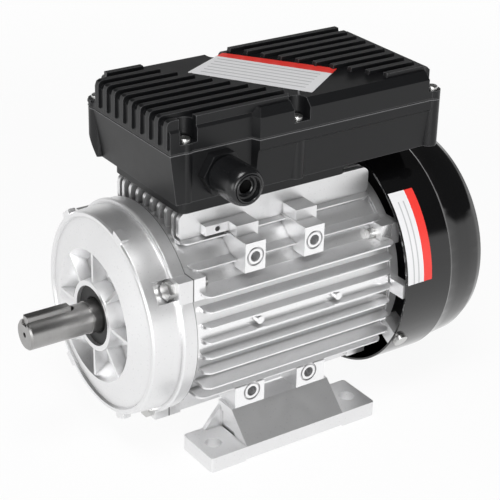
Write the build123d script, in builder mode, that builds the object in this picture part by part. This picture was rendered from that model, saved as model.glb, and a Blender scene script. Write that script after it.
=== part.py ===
from build123d import *
from math import cos, degrees, radians, sin
import os

# Single-phase electric motor with start and run capacitors, on feet, frame size 80.
# The shaft points to -X, the cable gland side is -Y and Z is up. The origin lies on the floor in the
# middle of the four foot holes. All sizes are in millimetres.

# Mounting sizes
shaft_height = 80.0
foot_hole_across = 125.0
foot_hole_along = 100.0
foot_hole_radius = 5.0
foot_hole_to_shoulder = 50.0
shaft_end_radius = 9.5
shaft_end_length = 40.0
shaft_end_chamfer = 1.0
key_width = 6.0
key_height = 6.0
key_depth_in_shaft = 3.5
key_length = 28.0
key_tip_gap = 1.0
centre_hole_radius = 1.6
centre_hole_depth = 6.0

# Clearances
seat_gap = 0.02
slide_gap = 0.1
hole_gap = 0.3

# Finned frame
frame_drive_x = -63.0
frame_length = 143.0
barrel_radius = 58.5
bore_radius = 55.0
fin_thickness = 2.8
fin_pitch = 10.0
fin_rows_above = 3
fin_rows_below = 3
fin_reach = 66.0
fin_corner = 5.0
fin_drive_gap = 5.5
fin_fan_gap = 0.5
lowest_fin_drop = 40.0
lowest_fin_reach = 59.0
shoulder_fin_rise = 41.0
shoulder_fin_reach = 52.0
top_fin_rise = 52.5
top_fin_reach = 40.0
upright_fin_thickness = 2.6
upright_fin_pitch = 8.0
upright_fin_count = 8
pad_wall_y = 33.5
pad_wall_thickness = 3.0
pad_length = 84.0
pad_width = 60.0
wire_hole_length = 44.0
wire_hole_width = 30.0
belly_fin_drop = 65.0
belly_fin_pitch = 9.0
belly_fin_count = 7

# Bolt lugs shared by the frame and its two endshields
upper_lug_y = 52.0
upper_lug_rise = 34.0
upper_lug_width = 16.0
upper_lug_height = 14.0
lower_lug_y = 27.0
lower_lug_drop = 56.0
lower_lug_size = 13.0
frame_lug_length = 8.0
lug_bolt_radius = 3.0
lug_bolt_head_flats = 10.0
lug_bolt_head_height = 4.2
lug_bolt_pocket_radius = 6.8
lug_bolt_tip = 5.0
lug_hole_spare = 1.0

# Side bosses for feet in other positions
boss_x = 21.0
boss_rise = 45.0
boss_face_y = 60.0
boss_width = 14.0
boss_height = 18.5
boss_shelf_width = 15.0
boss_shelf_shift = 1.6
boss_shelf_face_y = 49.0
boss_shelf_top_rise = 61.0
boss_hole_radius = 3.3
boss_hole_depth = 13.0
boss_ring_inner = 4.8
boss_ring_outer = 6.0
boss_ring_depth = 1.0
foot_seat_drop = 53.5
foot_boss_inner_x = 12.0
foot_boss_outer_x = 33.0
foot_boss_back_y = 38.0
ledge_start_x = -42.8
ledge_face_y = 40.5
ledge_thickness = 5.8
earth_hole_x = -34.5
earth_hole_radius = 1.7
earth_hole_depth = 6.0
bridge_pad_places = (-20.0, 37.0)
bridge_pad_length = 6.0

# Feet
foot_length = 121.2
foot_outer_y = 77.3
foot_inner_y = 45.6
foot_plate = 9.8
foot_plate_corner = 2.0
riser_length = 71.0
riser_seat_y = 60.0
riser_wall = 3.5
riser_seat_thickness = 6.0
riser_end_web = 1.8
riser_end_set_back = 1.0
gusset_length = 11.5
gusset_thickness = 3.0
foot_relief_depth = 1.0
foot_relief_length = 72.0
foot_bolt_x = 27.4
foot_bolt_y = 53.6
foot_bolt_radius = 2.5
foot_bolt_grip = 10.0
foot_bolt_head_radius = 4.25
foot_bolt_head_height = 5.0
foot_bolt_socket = 4.0
foot_bolt_socket_depth = 2.5

# Bearings, both of the same size
bearing_bore_radius = 10.0
bearing_outer_radius = 23.5
bearing_width = 14.0
bearing_pitch_radius = 16.75
ball_radius = 3.92
ball_count = 8
race_groove_radius = 4.02
inner_land_radius = 14.0
outer_land_radius = 19.5
cage_inner_radius = 15.5
cage_outer_radius = 18.0
cage_width = 9.6
cage_pocket_radius = 4.25
drive_bearing_x = -83.0
fan_bearing_set_back = 0.0

# Drive endshield
shield_spigot = 5.0
shield_spigot_wall = 3.5
shield_flange_radius = 65.4
shield_flange_thickness = 7.4
shield_bead_radius = 66.1
shield_bead_x = -72.0
shield_bead_drop = 0.8
shield_barrel_radius = 63.3
shield_lug_length = 9.8
shield_rim_radius = 62.3
shield_rim_x = -90.9
shield_rim_width = 4.0
shield_step = 1.6
shield_face_inner_radius = 41.0
shield_face_inner_x = -95.5
shield_pocket_floor_x = -86.0
shield_pocket_floor_radius = 34.0
shield_hub_x = -96.0
shield_hub_radius = 21.6
shield_hub_bore = 18.5
shield_hub_boss_radius = 28.5
shield_wall = 3.2
shield_rib_count = 8
shield_rib_thickness = 2.0
shield_rib_set_back = 0.5
shield_ear_angles = (52.0, 111.0, 249.0, 308.0)
shield_ear_width = 9.0
shield_ear_length = 5.0
shield_ear_radius = 64.8

# Shaft and rotor
shaft_rotor_radius = 13.0
shaft_fan_radius = 7.5
shaft_fan_overhang = 54.0
rotor_radius = 32.7
air_gap = 0.3
core_start_x = -25.0
core_fan_gap = 35.0
end_ring_outer = 31.0
end_ring_inner = 20.0
end_ring_length = 9.0
end_ring_blade_count = 8
end_ring_blade_length = 4.0
end_ring_blade_thickness = 2.5
stator_slot_count = 24
stator_slot_width = 3.4
stator_slot_depth = 13.0
winding_inner_radius = 36.5
winding_outer_radius = 51.0
winding_overhang = 20.0
winding_round = 5.0
seal_start_x = -93.5
seal_width = 6.0
seal_lip_gap = 0.05
wave_spring_thickness = 0.8

# Fan endshield, fan and cowl
fan_shield_flange = 6.0
fan_shield_radius = 62.0
fan_shield_wall = 4.0
fan_shield_hub_radius = 28.5
fan_shield_shaft_hole = 12.0
side_tab_width = 9.0
side_tab_radius = 74.3
cowl_gap = 1.5
cowl_front_radius = 76.0
cowl_front_length = 35.5
cowl_step_length = 3.0
cowl_rear_radius = 74.0
cowl_tail_radius = 72.0
cowl_length = 68.5
cowl_edge_round = 8.0
cowl_sheet = 1.2
cowl_screw_set_back = 7.0
cowl_screw_angles = (210.0, 330.0, 90.0)
cowl_screw_radius = 2.5
cowl_screw_head_radius = 4.6
cowl_screw_head_height = 2.6
cowl_screw_depth = 9.0
cowl_lug_width = 11.0
cowl_lug_inner_radius = 60.0
grille_rings = ((20.0, 8), (31.0, 12), (42.0, 16), (53.0, 20))
grille_slot_width = 5.0
grille_web = 3.4
fan_set_back = 23.0
fan_radius = 64.0
fan_hub_radius = 15.0
fan_hub_length = 26.0
fan_disc_thickness = 2.5
fan_blade_count = 8
fan_blade_height = 22.0
fan_blade_thickness = 2.4
circlip_groove_depth = 0.6
circlip_width = 1.2
circlip_outer_radius = 10.5
circlip_gap_angle = 50.0

# Centrifugal switch
governor_fan_gap = 24.0
governor_disc_radius = 20.0
governor_disc_thickness = 3.0
governor_hub_radius = 15.5
governor_hub_length = 5.0
governor_ear_thickness = 2.0
governor_ear_length = 4.3
governor_ear_low_rise = 13.5
governor_ear_high_rise = 25.4
weight_pin_offset = 5.5
weight_pin_rise = 23.2
weight_pin_radius = 1.2
weight_offset = 3.9
weight_length = 8.5
weight_low_rise = 20.4
weight_height = 6.0
weight_width = 18.0
weight_finger_width = 6.0
weight_finger_thickness = 1.6
weight_finger_low_rise = 16.2
collar_offset = 8.2
collar_width = 4.0
collar_radius = 17.5
collar_bore_radius = 13.0
switch_plate_offset = 20.2
switch_plate_thickness = 1.6
switch_plate_outer = 48.0
switch_plate_inner = 25.5
switch_leg_radius = 3.0
switch_leg_length = 6.5
switch_leg_place = 41.5
contact_arm_offset = 15.3
contact_arm_thickness = 1.0
contact_arm_half_height = 18.0
contact_neck_half_height = 6.5
contact_pin_y = -33.5
contact_pin_radius = 1.5
contact_pin_gap = 0.08
contact_knuckle_radius = 2.6
contact_tail_y = -42.0
contact_fork_y = -25.0
contact_fork_end_y = 6.0
contact_opening_y = -16.0
contact_opening_half_height = 14.2
contact_pad_half_width = 3.5
contact_pad_height = 3.0
contact_block = 8.0
contact_ear_height = 2.0
contact_stud_y = -40.0
contact_stud_radius = 1.8
contact_gap = 0.05

# Box for the capacitors and terminals
box_left_x = -69.0
box_overhang = 38.5
box_half_width = 49.5
box_over_cowl = 5.0
box_base_height = 30.3
box_height = 48.0
box_wall = 2.8
box_left_slope = 4.0
box_right_slope = 1.2
far_edge_low_y = 45.0
far_edge_bend_rise = 15.0
near_edge_low_y = 47.0
near_edge_band_y = 48.7
near_edge_band_rise = 23.3
near_edge_band_slope = 0.8
gland_wall_y = 44.5
gland_wall_end_x = -15.0
gland_wall_step = 2.5
cover_bevel = 4.5
cover_edge = 2.0
box_corner_radius = 5.0
rib_pitch = 9.5
rib_count = 10
rib_width = 3.6
rib_height = 2.6
rib_first_y = 44.2
rib_foot_rise = 2.7
rib_right_set_back = 7.5
rib_left_rise = 1.5
rib_lean = 0.3
rib_end_round = 2.8
band_left_x = -6.0
band_right_x = 56.3
band_slant = 0.64
neck_left_x = -58.0
neck_fan_gap = 20.0
neck_height = 11.0
neck_half_width = 38.0
neck_floor = 3.0
gasket_thickness = 1.0
cover_gasket_thickness = 0.8
cover_gasket_width = 2.0
near_posts = ((-57.0, -39.8), (16.5, -44.0))
far_posts = ((-64.5, 44.8), (18.0, 44.6))
right_post_inset = 2.0
right_post_y = 45.3
post_radius = 5.4
post_pocket_radius = 5.6
post_wall = 2.4
post_seat_rise = 5.5
cover_screw_radius = 2.0
cover_screw_head_radius = 3.6
cover_screw_head_height = 2.2
cover_screw_dome = 1.0
cover_screw_cross = 0.9
cover_screw_depth = 20.0
box_screw_x = 32.0
box_screw_y = 22.0
box_screw_radius = 2.5
box_screw_head_radius = 4.5
box_screw_head_height = 3.0
box_screw_depth = 9.0

# Cable gland
gland_x = -37.0
gland_rise = 15.5
gland_bore = 5.4
gland_thread_radius = 9.8
gland_flats = 24.0
gland_hex_length = 6.0
gland_collar_length = 10.0
gland_nut_radius = 12.4
gland_nut_start = 1.0
gland_nut_length = 19.0
gland_dome_length = 5.0
gland_dome_radius = 9.6
gland_nut_flute_count = 12
gland_nut_flute_radius = 1.6
gland_seal_start = 10.2
gland_seal_length = 15.6
gland_locknut_flats = 24.0
gland_locknut_thickness = 5.0
gland_seal_radius = 8.0

# Terminals and capacitors
board_x = -24.0
board_length = 42.0
board_width = 46.0
board_thickness = 4.0
board_rise = 3.5
board_leg_radius = 3.5
board_leg_x = 17.0
board_leg_y = 19.0
stud_radius = 2.0
stud_height = 15.0
stud_pitch = 14.0
stud_nut_flats = 7.0
stud_head_height = 2.5
stud_nut_height = 3.2
link_thickness = 0.8
link_width = 6.5
run_capacitor_radius = 15.0
run_capacitor_length = 66.0
start_capacitor_radius = 17.0
start_capacitor_length = 82.0
capacitor_start_x = 3.0
capacitor_y = 20.0
capacitor_rise = 23.0
capacitor_edge = 1.5
capacitor_post_radius = 2.4
capacitor_post_length = 5.0
capacitor_post_rise = 6.0
clamp_thickness = 1.0
clamp_width = 8.0
clamp_foot_width = 12.0
clamp_start_x = 58.5

# Places worked out from the sizes above
frame_fan_x = frame_drive_x + frame_length
fin_length = frame_length - fin_drive_gap - fin_fan_gap
fin_middle_x = frame_drive_x + fin_drive_gap + fin_length / 2
box_bottom_z = shaft_height + cowl_front_radius + box_over_cowl
box_split_z = box_bottom_z + box_base_height
box_top_z = box_bottom_z + box_height
box_right_x = frame_fan_x + box_overhang
frame_top_z = box_bottom_z - neck_height
neck_right_x = frame_fan_x - neck_fan_gap
far_edge_bend_z = box_bottom_z + far_edge_bend_rise
near_edge_band_z = box_bottom_z + near_edge_band_rise
rib_foot_z = box_split_z + rib_foot_rise
rib_top_z = box_top_z + rib_height
rib_right_end_x = box_right_x - rib_right_set_back
right_post_x = box_right_x - right_post_inset
near_screw_posts = (*near_posts, (right_post_x, -right_post_y))
far_screw_posts = (*far_posts, (right_post_x, right_post_y))
screw_posts = near_screw_posts + far_screw_posts
post_seat_z = box_split_z + post_seat_rise
gland_z = box_bottom_z + gland_rise
board_z = box_bottom_z + board_rise
capacitor_z = box_bottom_z + capacitor_rise
foot_seat_z = shaft_height - foot_seat_drop
belly_fin_bottom_z = shaft_height - belly_fin_drop
fan_bearing_x = frame_fan_x + fan_bearing_set_back
core_length = frame_fan_x - core_fan_gap - core_start_x
shaft_fan_end_x = frame_fan_x + shaft_fan_overhang
cowl_start_x = frame_fan_x + cowl_gap
cowl_step_x = cowl_start_x + cowl_front_length
cowl_end_x = cowl_start_x + cowl_length
cowl_screw_x = frame_fan_x + cowl_screw_set_back
fan_start_x = frame_fan_x + fan_set_back
governor_x = frame_fan_x - governor_fan_gap
weight_pin_x = governor_x + weight_pin_offset
weight_start_x = governor_x + weight_offset
collar_x = governor_x + collar_offset
switch_plate_x = governor_x + switch_plate_offset
contact_arm_x = governor_x + contact_arm_offset
shoulder_x = -(foot_hole_along / 2 + foot_hole_to_shoulder)
shaft_tip_x = shoulder_x - shaft_end_length
drive_bearing_end_x = drive_bearing_x + bearing_width
fan_bearing_end_x = fan_bearing_x + bearing_width
core_end_x = core_start_x + core_length
stator_bore_radius = rotor_radius + air_gap
gasket_top_z = frame_top_z + gasket_thickness
cover_bottom_z = box_split_z + cover_gasket_thickness
fan_end_x = fan_start_x + fan_hub_length
governor_end_x = governor_x + governor_disc_thickness
neck_floor_z = gasket_top_z + neck_floor
box_floor_z = box_bottom_z + box_wall
motor_axis = Axis((0, 0, shaft_height), (1, 0, 0))
side_plane = Plane(origin=(0, 0, shaft_height), x_dir=(1, 0, 0), z_dir=(0, -1, 0))


def cross_plane(x):
    """Plane across the motor at x, with its own x along world Y and its own y along world Z."""
    return Plane(origin=(x, 0, shaft_height), x_dir=(0, 1, 0), z_dir=(1, 0, 0))


def radial_plane(angle):
    """Plane through the motor axis, with its own y pointing outwards at the angle from +Y to +Z."""
    turn = radians(angle)
    return Plane(origin=(0, 0, shaft_height), x_dir=(1, 0, 0), z_dir=(0, -sin(turn), cos(turn)))


def outward_plane(angle, x, radius):
    """Plane that touches the cylinder of that radius and faces away from the motor axis."""
    turn = radians(angle)
    outwards = (0, cos(turn), sin(turn))
    place = (x, radius * cos(turn), shaft_height + radius * sin(turn))
    return Plane(origin=place, x_dir=(1, 0, 0), z_dir=outwards)


def turned(profile):
    """Solid turned about the motor axis from a closed outline of (x, radius) points."""
    with BuildPart() as body:
        with BuildSketch(side_plane):
            with BuildLine():
                Polyline(*profile, close=True)
            make_face()
        revolve(axis=motor_axis)
    return body.part


def ring(start_x, length, outer, inner):
    """Plain ring about the motor axis."""
    with BuildPart() as body:
        with BuildSketch(cross_plane(start_x)):
            Circle(outer)
            Circle(inner, mode=Mode.SUBTRACT)
        extrude(amount=length)
    return body.part


def lug_section(x):
    """Outline of the four bolt lugs across the motor at x."""
    with BuildSketch(cross_plane(x)) as section:
        with Locations(*upper_lugs):
            Rectangle(upper_lug_width, upper_lug_height)
        with Locations(*lower_lugs):
            Rectangle(lower_lug_size, lower_lug_size)
    return section.sketch


def save(part, name):
    """Label a finished piece and write it to its own file."""
    part.label = name
    export_step(part, f"parts/{name}.step")


os.makedirs("parts", exist_ok=True)

# Finned frame
side_fins = [(row * fin_pitch, fin_reach) for row in range(-fin_rows_below, fin_rows_above + 1)]
side_fins.append((-lowest_fin_drop, lowest_fin_reach))
side_fins.append((shoulder_fin_rise, shoulder_fin_reach))
side_fins.append((top_fin_rise, top_fin_reach))
upper_lugs = [(side * upper_lug_y, upper_lug_rise) for side in (-1, 1)]
lower_lugs = [(side * lower_lug_y, -lower_lug_drop) for side in (-1, 1)]
lug_bolts = upper_lugs + lower_lugs
foot_boss_length = foot_boss_outer_x - foot_boss_inner_x
foot_boss_middle_x = (foot_boss_outer_x + foot_boss_inner_x) / 2
foot_boss_depth = boss_face_y - foot_boss_back_y
foot_boss_middle_y = (boss_face_y + foot_boss_back_y) / 2

with BuildPart() as frame_housing:
    with BuildSketch(cross_plane(frame_drive_x)):
        Circle(barrel_radius)
    extrude(amount=frame_length)
    # Flat fins on both sides
    for rise, reach in side_fins:
        with BuildSketch(Plane.XY.offset(shaft_height + rise - fin_thickness / 2)):
            with Locations((fin_middle_x, 0)):
                RectangleRounded(fin_length, 2 * reach, fin_corner)
    extrude(amount=fin_thickness)
    # Upright fins under the box, and the walls that close them in at both sides
    for place in range(upright_fin_count):
        fin_y = (place - (upright_fin_count - 1) / 2) * upright_fin_pitch
        with BuildSketch(Plane.XZ.offset(-fin_y - upright_fin_thickness / 2)):
            with Locations((fin_middle_x, (shaft_height + frame_top_z) / 2)):
                RectangleRounded(fin_length, frame_top_z - shaft_height, fin_corner)
    extrude(amount=upright_fin_thickness)
    for side in (-1, 1):
        wall_low_z = shaft_height + top_fin_rise
        with BuildSketch(Plane.XZ.offset(side * pad_wall_y - pad_wall_thickness / 2)):
            with Locations((fin_middle_x, (wall_low_z + frame_top_z) / 2)):
                RectangleRounded(fin_length, frame_top_z - wall_low_z, fin_corner)
    extrude(amount=pad_wall_thickness)
    # Upright fins under the belly
    for place in range(belly_fin_count):
        fin_y = (place - (belly_fin_count - 1) / 2) * belly_fin_pitch
        with BuildSketch(Plane.XZ.offset(-fin_y - upright_fin_thickness / 2)):
            with Locations((fin_middle_x, (shaft_height + belly_fin_bottom_z) / 2)):
                RectangleRounded(fin_length, shaft_height - belly_fin_bottom_z, fin_corner)
    extrude(amount=upright_fin_thickness)
    # Seat for the box
    with BuildSketch(Plane.XY.offset(shaft_height)):
        Rectangle(pad_length, pad_width)
    extrude(amount=frame_top_z - shaft_height)
    # Bolt lugs at both ends
    for lug_start_x in (frame_drive_x, frame_fan_x - frame_lug_length):
        extrude(lug_section(lug_start_x), amount=frame_lug_length)
    # Side bosses, the upper ones under a shelf each and the lower ones over the feet
    sides = [(along, side) for along in (-1, 1) for side in (-1, 1)]
    with BuildSketch(Plane.XY.offset(shaft_height + boss_rise - boss_height / 2)):
        with Locations(*[(along * boss_x, side * boss_face_y / 2) for along, side in sides]):
            Rectangle(boss_width, boss_face_y)
    extrude(amount=boss_height)
    with BuildSketch(Plane.XY.offset(shaft_height + boss_rise)):
        shelf_y = boss_shelf_face_y / 2
        with Locations(*[(along * boss_x + boss_shelf_shift, side * shelf_y) for along, side in sides]):
            Rectangle(boss_shelf_width, boss_shelf_face_y)
    extrude(amount=boss_shelf_top_rise - boss_rise)
    with BuildSketch(Plane.XY.offset(foot_seat_z)):
        with Locations(*[(along * foot_boss_middle_x, side * foot_boss_middle_y) for along, side in sides]):
            Rectangle(foot_boss_length, foot_boss_depth)
    extrude(amount=shaft_height - lowest_fin_drop - foot_seat_z)
    # Ledge for an earth screw, level with the shelves
    ledge_length = -boss_x - ledge_start_x
    with BuildSketch(Plane.XY.offset(shaft_height + boss_shelf_top_rise)):
        with Locations((ledge_start_x + ledge_length / 2, -ledge_face_y / 2)):
            Rectangle(ledge_length, ledge_face_y)
    extrude(amount=-ledge_thickness)
    # Small pads that tie two fins together
    with BuildSketch(Plane.XY.offset(shaft_height)):
        with Locations(*[(x, side * fin_reach / 2) for x in bridge_pad_places for side in (-1, 1)]):
            Rectangle(bridge_pad_length, fin_reach)
    extrude(amount=fin_pitch)
    # Bore for the stator
    with BuildSketch(cross_plane(frame_drive_x)):
        Circle(bore_radius)
    extrude(amount=frame_length, mode=Mode.SUBTRACT)
    # Way for the wires up into the box
    with BuildSketch(Plane.XY.offset(shaft_height)):
        Rectangle(wire_hole_length, wire_hole_width)
    extrude(amount=frame_top_z - shaft_height, mode=Mode.SUBTRACT)
    # Holes for the endshield bolts
    lug_hole_depth = frame_lug_length + lug_bolt_tip + lug_hole_spare
    for hole_start_x in (frame_drive_x, frame_fan_x - lug_hole_depth):
        with BuildSketch(cross_plane(hole_start_x)):
            with Locations(*lug_bolts):
                Circle(lug_bolt_radius + seat_gap)
    extrude(amount=lug_hole_depth, mode=Mode.SUBTRACT)
    # Ringed holes of the side bosses
    for side in (-1, 1):
        boss_face = Plane(origin=(0, side * boss_face_y, shaft_height), x_dir=(1, 0, 0), z_dir=(0, side, 0))
        boss_places = [(x * boss_x, z * boss_rise) for x in (-1, 1) for z in (-1, 1)]
        with BuildSketch(boss_face):
            with Locations(*boss_places):
                Circle(boss_hole_radius)
        extrude(amount=-boss_hole_depth, mode=Mode.SUBTRACT)
        with BuildSketch(boss_face):
            with Locations(*boss_places):
                Circle(boss_ring_outer)
                Circle(boss_ring_inner, mode=Mode.SUBTRACT)
        extrude(amount=-boss_ring_depth, mode=Mode.SUBTRACT)
    # Holes for the foot bolts
    foot_bolt_places = [(x * foot_bolt_x, y * foot_bolt_y) for x in (-1, 1) for y in (-1, 1)]
    with BuildSketch(Plane.XY.offset(foot_seat_z)):
        with Locations(*foot_bolt_places):
            Circle(foot_bolt_radius + seat_gap)
    extrude(amount=foot_bolt_grip + 1, mode=Mode.SUBTRACT)
    # Threaded holes for an earth screw and for the screws of the box
    with BuildSketch(Plane(origin=(0, -ledge_face_y, shaft_height), x_dir=(1, 0, 0), z_dir=(0, -1, 0))):
        with Locations((earth_hole_x, boss_shelf_top_rise - ledge_thickness / 2)):
            Circle(earth_hole_radius)
    extrude(amount=-earth_hole_depth, mode=Mode.SUBTRACT)
    box_screw_places = [(x * box_screw_x, y * box_screw_y) for x in (-1, 1) for y in (-1, 1)]
    with BuildSketch(Plane.XY.offset(frame_top_z)):
        with Locations(*box_screw_places):
            Circle(box_screw_radius + seat_gap)
    extrude(amount=-box_screw_depth - 1, mode=Mode.SUBTRACT)
save(frame_housing.part, "frame_housing")

# Feet
foot_width = foot_outer_y - foot_inner_y
foot_middle_y = (foot_outer_y + foot_inner_y) / 2
seat_under_z = foot_seat_z - riser_seat_thickness

with BuildPart() as foot_near:
    with BuildSketch(Plane.XY):
        with Locations((0, -foot_middle_y)):
            RectangleRounded(foot_length, foot_width, foot_plate_corner)
    extrude(amount=foot_plate)
    # Riser with a sloping front, a seat for the frame and an upright back
    with BuildSketch(Plane.YZ.offset(-riser_length / 2)):
        with BuildLine():
            Polyline(
                (-foot_outer_y, 0),
                (-foot_outer_y, foot_plate),
                (-riser_seat_y, foot_seat_z),
                (-foot_inner_y, foot_seat_z),
                (-foot_inner_y, 0),
                close=True,
            )
        make_face()
    extrude(amount=riser_length)
    # Hollow under the riser, open at the bottom and at both ends
    with BuildSketch(Plane.YZ.offset(-riser_length / 2)):
        with BuildLine():
            Polyline(
                (-foot_outer_y + 2 * riser_wall, 0),
                (-riser_seat_y + riser_wall / 2, seat_under_z),
                (-foot_inner_y - riser_wall, seat_under_z),
                (-foot_inner_y - riser_wall, 0),
                close=True,
            )
        make_face()
    extrude(amount=riser_length, mode=Mode.SUBTRACT)
    # End webs set back in the hollow
    for side in (-1, 1):
        web_x = side * (riser_length / 2 - riser_end_set_back - riser_end_web / 2)
        with BuildSketch(Plane.YZ.offset(web_x - riser_end_web / 2)):
            with BuildLine():
                Polyline(
                    (-foot_outer_y + riser_wall, foot_plate / 2),
                    (-foot_outer_y + riser_wall, foot_plate),
                    (-riser_seat_y + riser_wall / 2, seat_under_z + 1),
                    (-foot_inner_y - riser_wall / 2, seat_under_z + 1),
                    (-foot_inner_y - riser_wall / 2, foot_plate / 2),
                    close=True,
                )
            make_face()
        extrude(amount=riser_end_web)
    # Gussets that carry the back wall down to the plate
    for side in (-1, 1):
        with BuildSketch(Plane.XZ.offset(foot_inner_y)):
            with BuildLine():
                Polyline(
                    (side * riser_length / 2, foot_plate),
                    (side * (riser_length / 2 + gusset_length), foot_plate),
                    (side * riser_length / 2, seat_under_z + 3),
                    close=True,
                )
            make_face()
        extrude(amount=gusset_thickness)
    # Shallow relief under the middle, so that only the two ends rest
    with BuildSketch(Plane.XY):
        with Locations((0, -foot_middle_y)):
            Rectangle(foot_relief_length, foot_width)
    extrude(amount=foot_relief_depth, mode=Mode.SUBTRACT)
    # Floor holes and bolt holes
    with BuildSketch(Plane.XY):
        with Locations(*[(x * foot_hole_along / 2, -foot_hole_across / 2) for x in (-1, 1)]):
            Circle(foot_hole_radius)
    extrude(amount=foot_plate, mode=Mode.SUBTRACT)
    with BuildSketch(Plane.XY.offset(seat_under_z)):
        with Locations(*[(x * foot_bolt_x, -foot_bolt_y) for x in (-1, 1)]):
            Circle(foot_bolt_radius + hole_gap)
    extrude(amount=riser_seat_thickness, mode=Mode.SUBTRACT)
save(foot_near.part, "foot_near")

with BuildPart() as foot_far:
    add(foot_near.part)
    mirror(about=Plane.XZ, mode=Mode.REPLACE)
save(foot_far.part, "foot_far")

with BuildPart() as foot_bolts:
    with BuildSketch(Plane.XY.offset(seat_under_z - foot_bolt_head_height)):
        with Locations(*foot_bolt_places):
            Circle(foot_bolt_head_radius)
    extrude(amount=foot_bolt_head_height)
    with BuildSketch(Plane.XY.offset(seat_under_z)):
        with Locations(*foot_bolt_places):
            Circle(foot_bolt_radius)
    extrude(amount=riser_seat_thickness + foot_bolt_grip)
    with BuildSketch(Plane.XY.offset(seat_under_z - foot_bolt_head_height)):
        with Locations(*foot_bolt_places):
            RegularPolygon(foot_bolt_socket / 2, 6, major_radius=False)
    extrude(amount=foot_bolt_socket_depth, mode=Mode.SUBTRACT)
save(foot_bolts.part, "foot_bolts")

# Drive endshield
shield_back_x = frame_drive_x
shield_flange_x = shield_back_x - shield_flange_thickness
shield_lug_x = shield_back_x - shield_lug_length
shield_inner_radius = bore_radius - shield_spigot_wall
shield_face_outer_radius = shield_rim_radius - shield_rim_width
shield_face_outer_x = shield_rim_x + shield_step
shield_outline = [
    (shield_back_x + shield_spigot, bore_radius - seat_gap),
    (shield_back_x, bore_radius - seat_gap),
    (shield_back_x, shield_flange_radius),
    (shield_flange_x, shield_flange_radius),
    (shield_flange_x, shield_bead_radius),
    (shield_bead_x, shield_bead_radius),
    (shield_bead_x - shield_bead_drop, shield_bead_radius - shield_bead_drop),
    (shield_bead_x - shield_bead_drop, shield_barrel_radius),
    (shield_rim_x + shield_rim_width + 1, shield_rim_radius + 0.4),
    (shield_rim_x + 1, shield_rim_radius),
    (shield_rim_x, shield_rim_radius - 1),
    (shield_rim_x, shield_face_outer_radius + 1),
    (shield_face_outer_x, shield_face_outer_radius),
    (shield_face_inner_x, shield_face_inner_radius),
    (shield_pocket_floor_x, shield_pocket_floor_radius),
    (shield_pocket_floor_x, shield_hub_radius + 1),
    (shield_hub_x, shield_hub_radius),
    (shield_hub_x, shield_hub_bore),
    (drive_bearing_x, shield_hub_bore),
    (drive_bearing_x, bearing_outer_radius + seat_gap),
    (drive_bearing_end_x, bearing_outer_radius + seat_gap),
    (drive_bearing_end_x, shield_hub_boss_radius),
    (shield_pocket_floor_x + shield_wall, shield_hub_boss_radius + 1),
    (shield_pocket_floor_x + shield_wall, shield_pocket_floor_radius),
    (shield_face_inner_x + 1.3 * shield_wall, shield_face_inner_radius + 1),
    (shield_face_outer_x + 1.3 * shield_wall, shield_inner_radius - 2),
    (shield_back_x + shield_spigot, shield_inner_radius),
]
with BuildPart() as drive_endshield:
    add(turned(shield_outline))
    # Radial ribs in the recess round the hub
    for rib in range(shield_rib_count):
        with BuildSketch(radial_plane(rib * 360 / shield_rib_count)):
            with BuildLine():
                Polyline(
                    (shield_face_inner_x + shield_rib_set_back, shield_face_inner_radius - 0.5),
                    (shield_face_inner_x + shield_rib_set_back, shield_hub_bore + 2),
                    (shield_pocket_floor_x + 1, shield_hub_bore + 2),
                    (shield_pocket_floor_x + 1, shield_pocket_floor_radius + 1),
                    close=True,
                )
            make_face()
    extrude(amount=shield_rib_thickness / 2, both=True)
    # Lugs for the bolts
    extrude(lug_section(shield_lug_x), amount=shield_lug_length)
    # Small cast ears on the front rim
    for angle in shield_ear_angles:
        with BuildSketch(outward_plane(angle, shield_rim_x + shield_ear_length / 2, shield_ear_radius)):
            Rectangle(shield_ear_length, shield_ear_width)
    extrude(amount=-(shield_ear_radius - shield_face_outer_radius - 1))
    # Pockets that let the bolt heads down to the lugs, and the bolt holes
    with BuildSketch(cross_plane(shield_lug_x)):
        with Locations(*lug_bolts):
            Circle(lug_bolt_pocket_radius)
    extrude(amount=-(lug_bolt_pocket_radius + lug_bolt_head_height), mode=Mode.SUBTRACT)
    with BuildSketch(cross_plane(shield_back_x)):
        with Locations(*lug_bolts):
            Circle(lug_bolt_radius + hole_gap)
    extrude(amount=-shield_lug_length, mode=Mode.SUBTRACT)
    with BuildSketch(cross_plane(drive_bearing_end_x)):
        Circle(bearing_outer_radius + seat_gap)
    extrude(amount=-bearing_width, mode=Mode.SUBTRACT)
save(drive_endshield.part, "drive_endshield")


def bolt_set(seat_x, thickness, direction):
    """Four hexagon bolts through the lugs: head seat, thickness held under the head, direction."""
    with BuildPart() as bolts:
        with BuildSketch(cross_plane(seat_x)):
            with Locations(*lug_bolts):
                RegularPolygon(lug_bolt_head_flats / 2, 6, major_radius=False)
        extrude(amount=-direction * lug_bolt_head_height)
        with BuildSketch(cross_plane(seat_x)):
            with Locations(*lug_bolts):
                Circle(lug_bolt_radius)
        extrude(amount=direction * (thickness + frame_lug_length + lug_bolt_tip))
    return bolts.part


save(bolt_set(shield_lug_x, shield_lug_length, 1), "drive_endshield_bolts")

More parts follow.
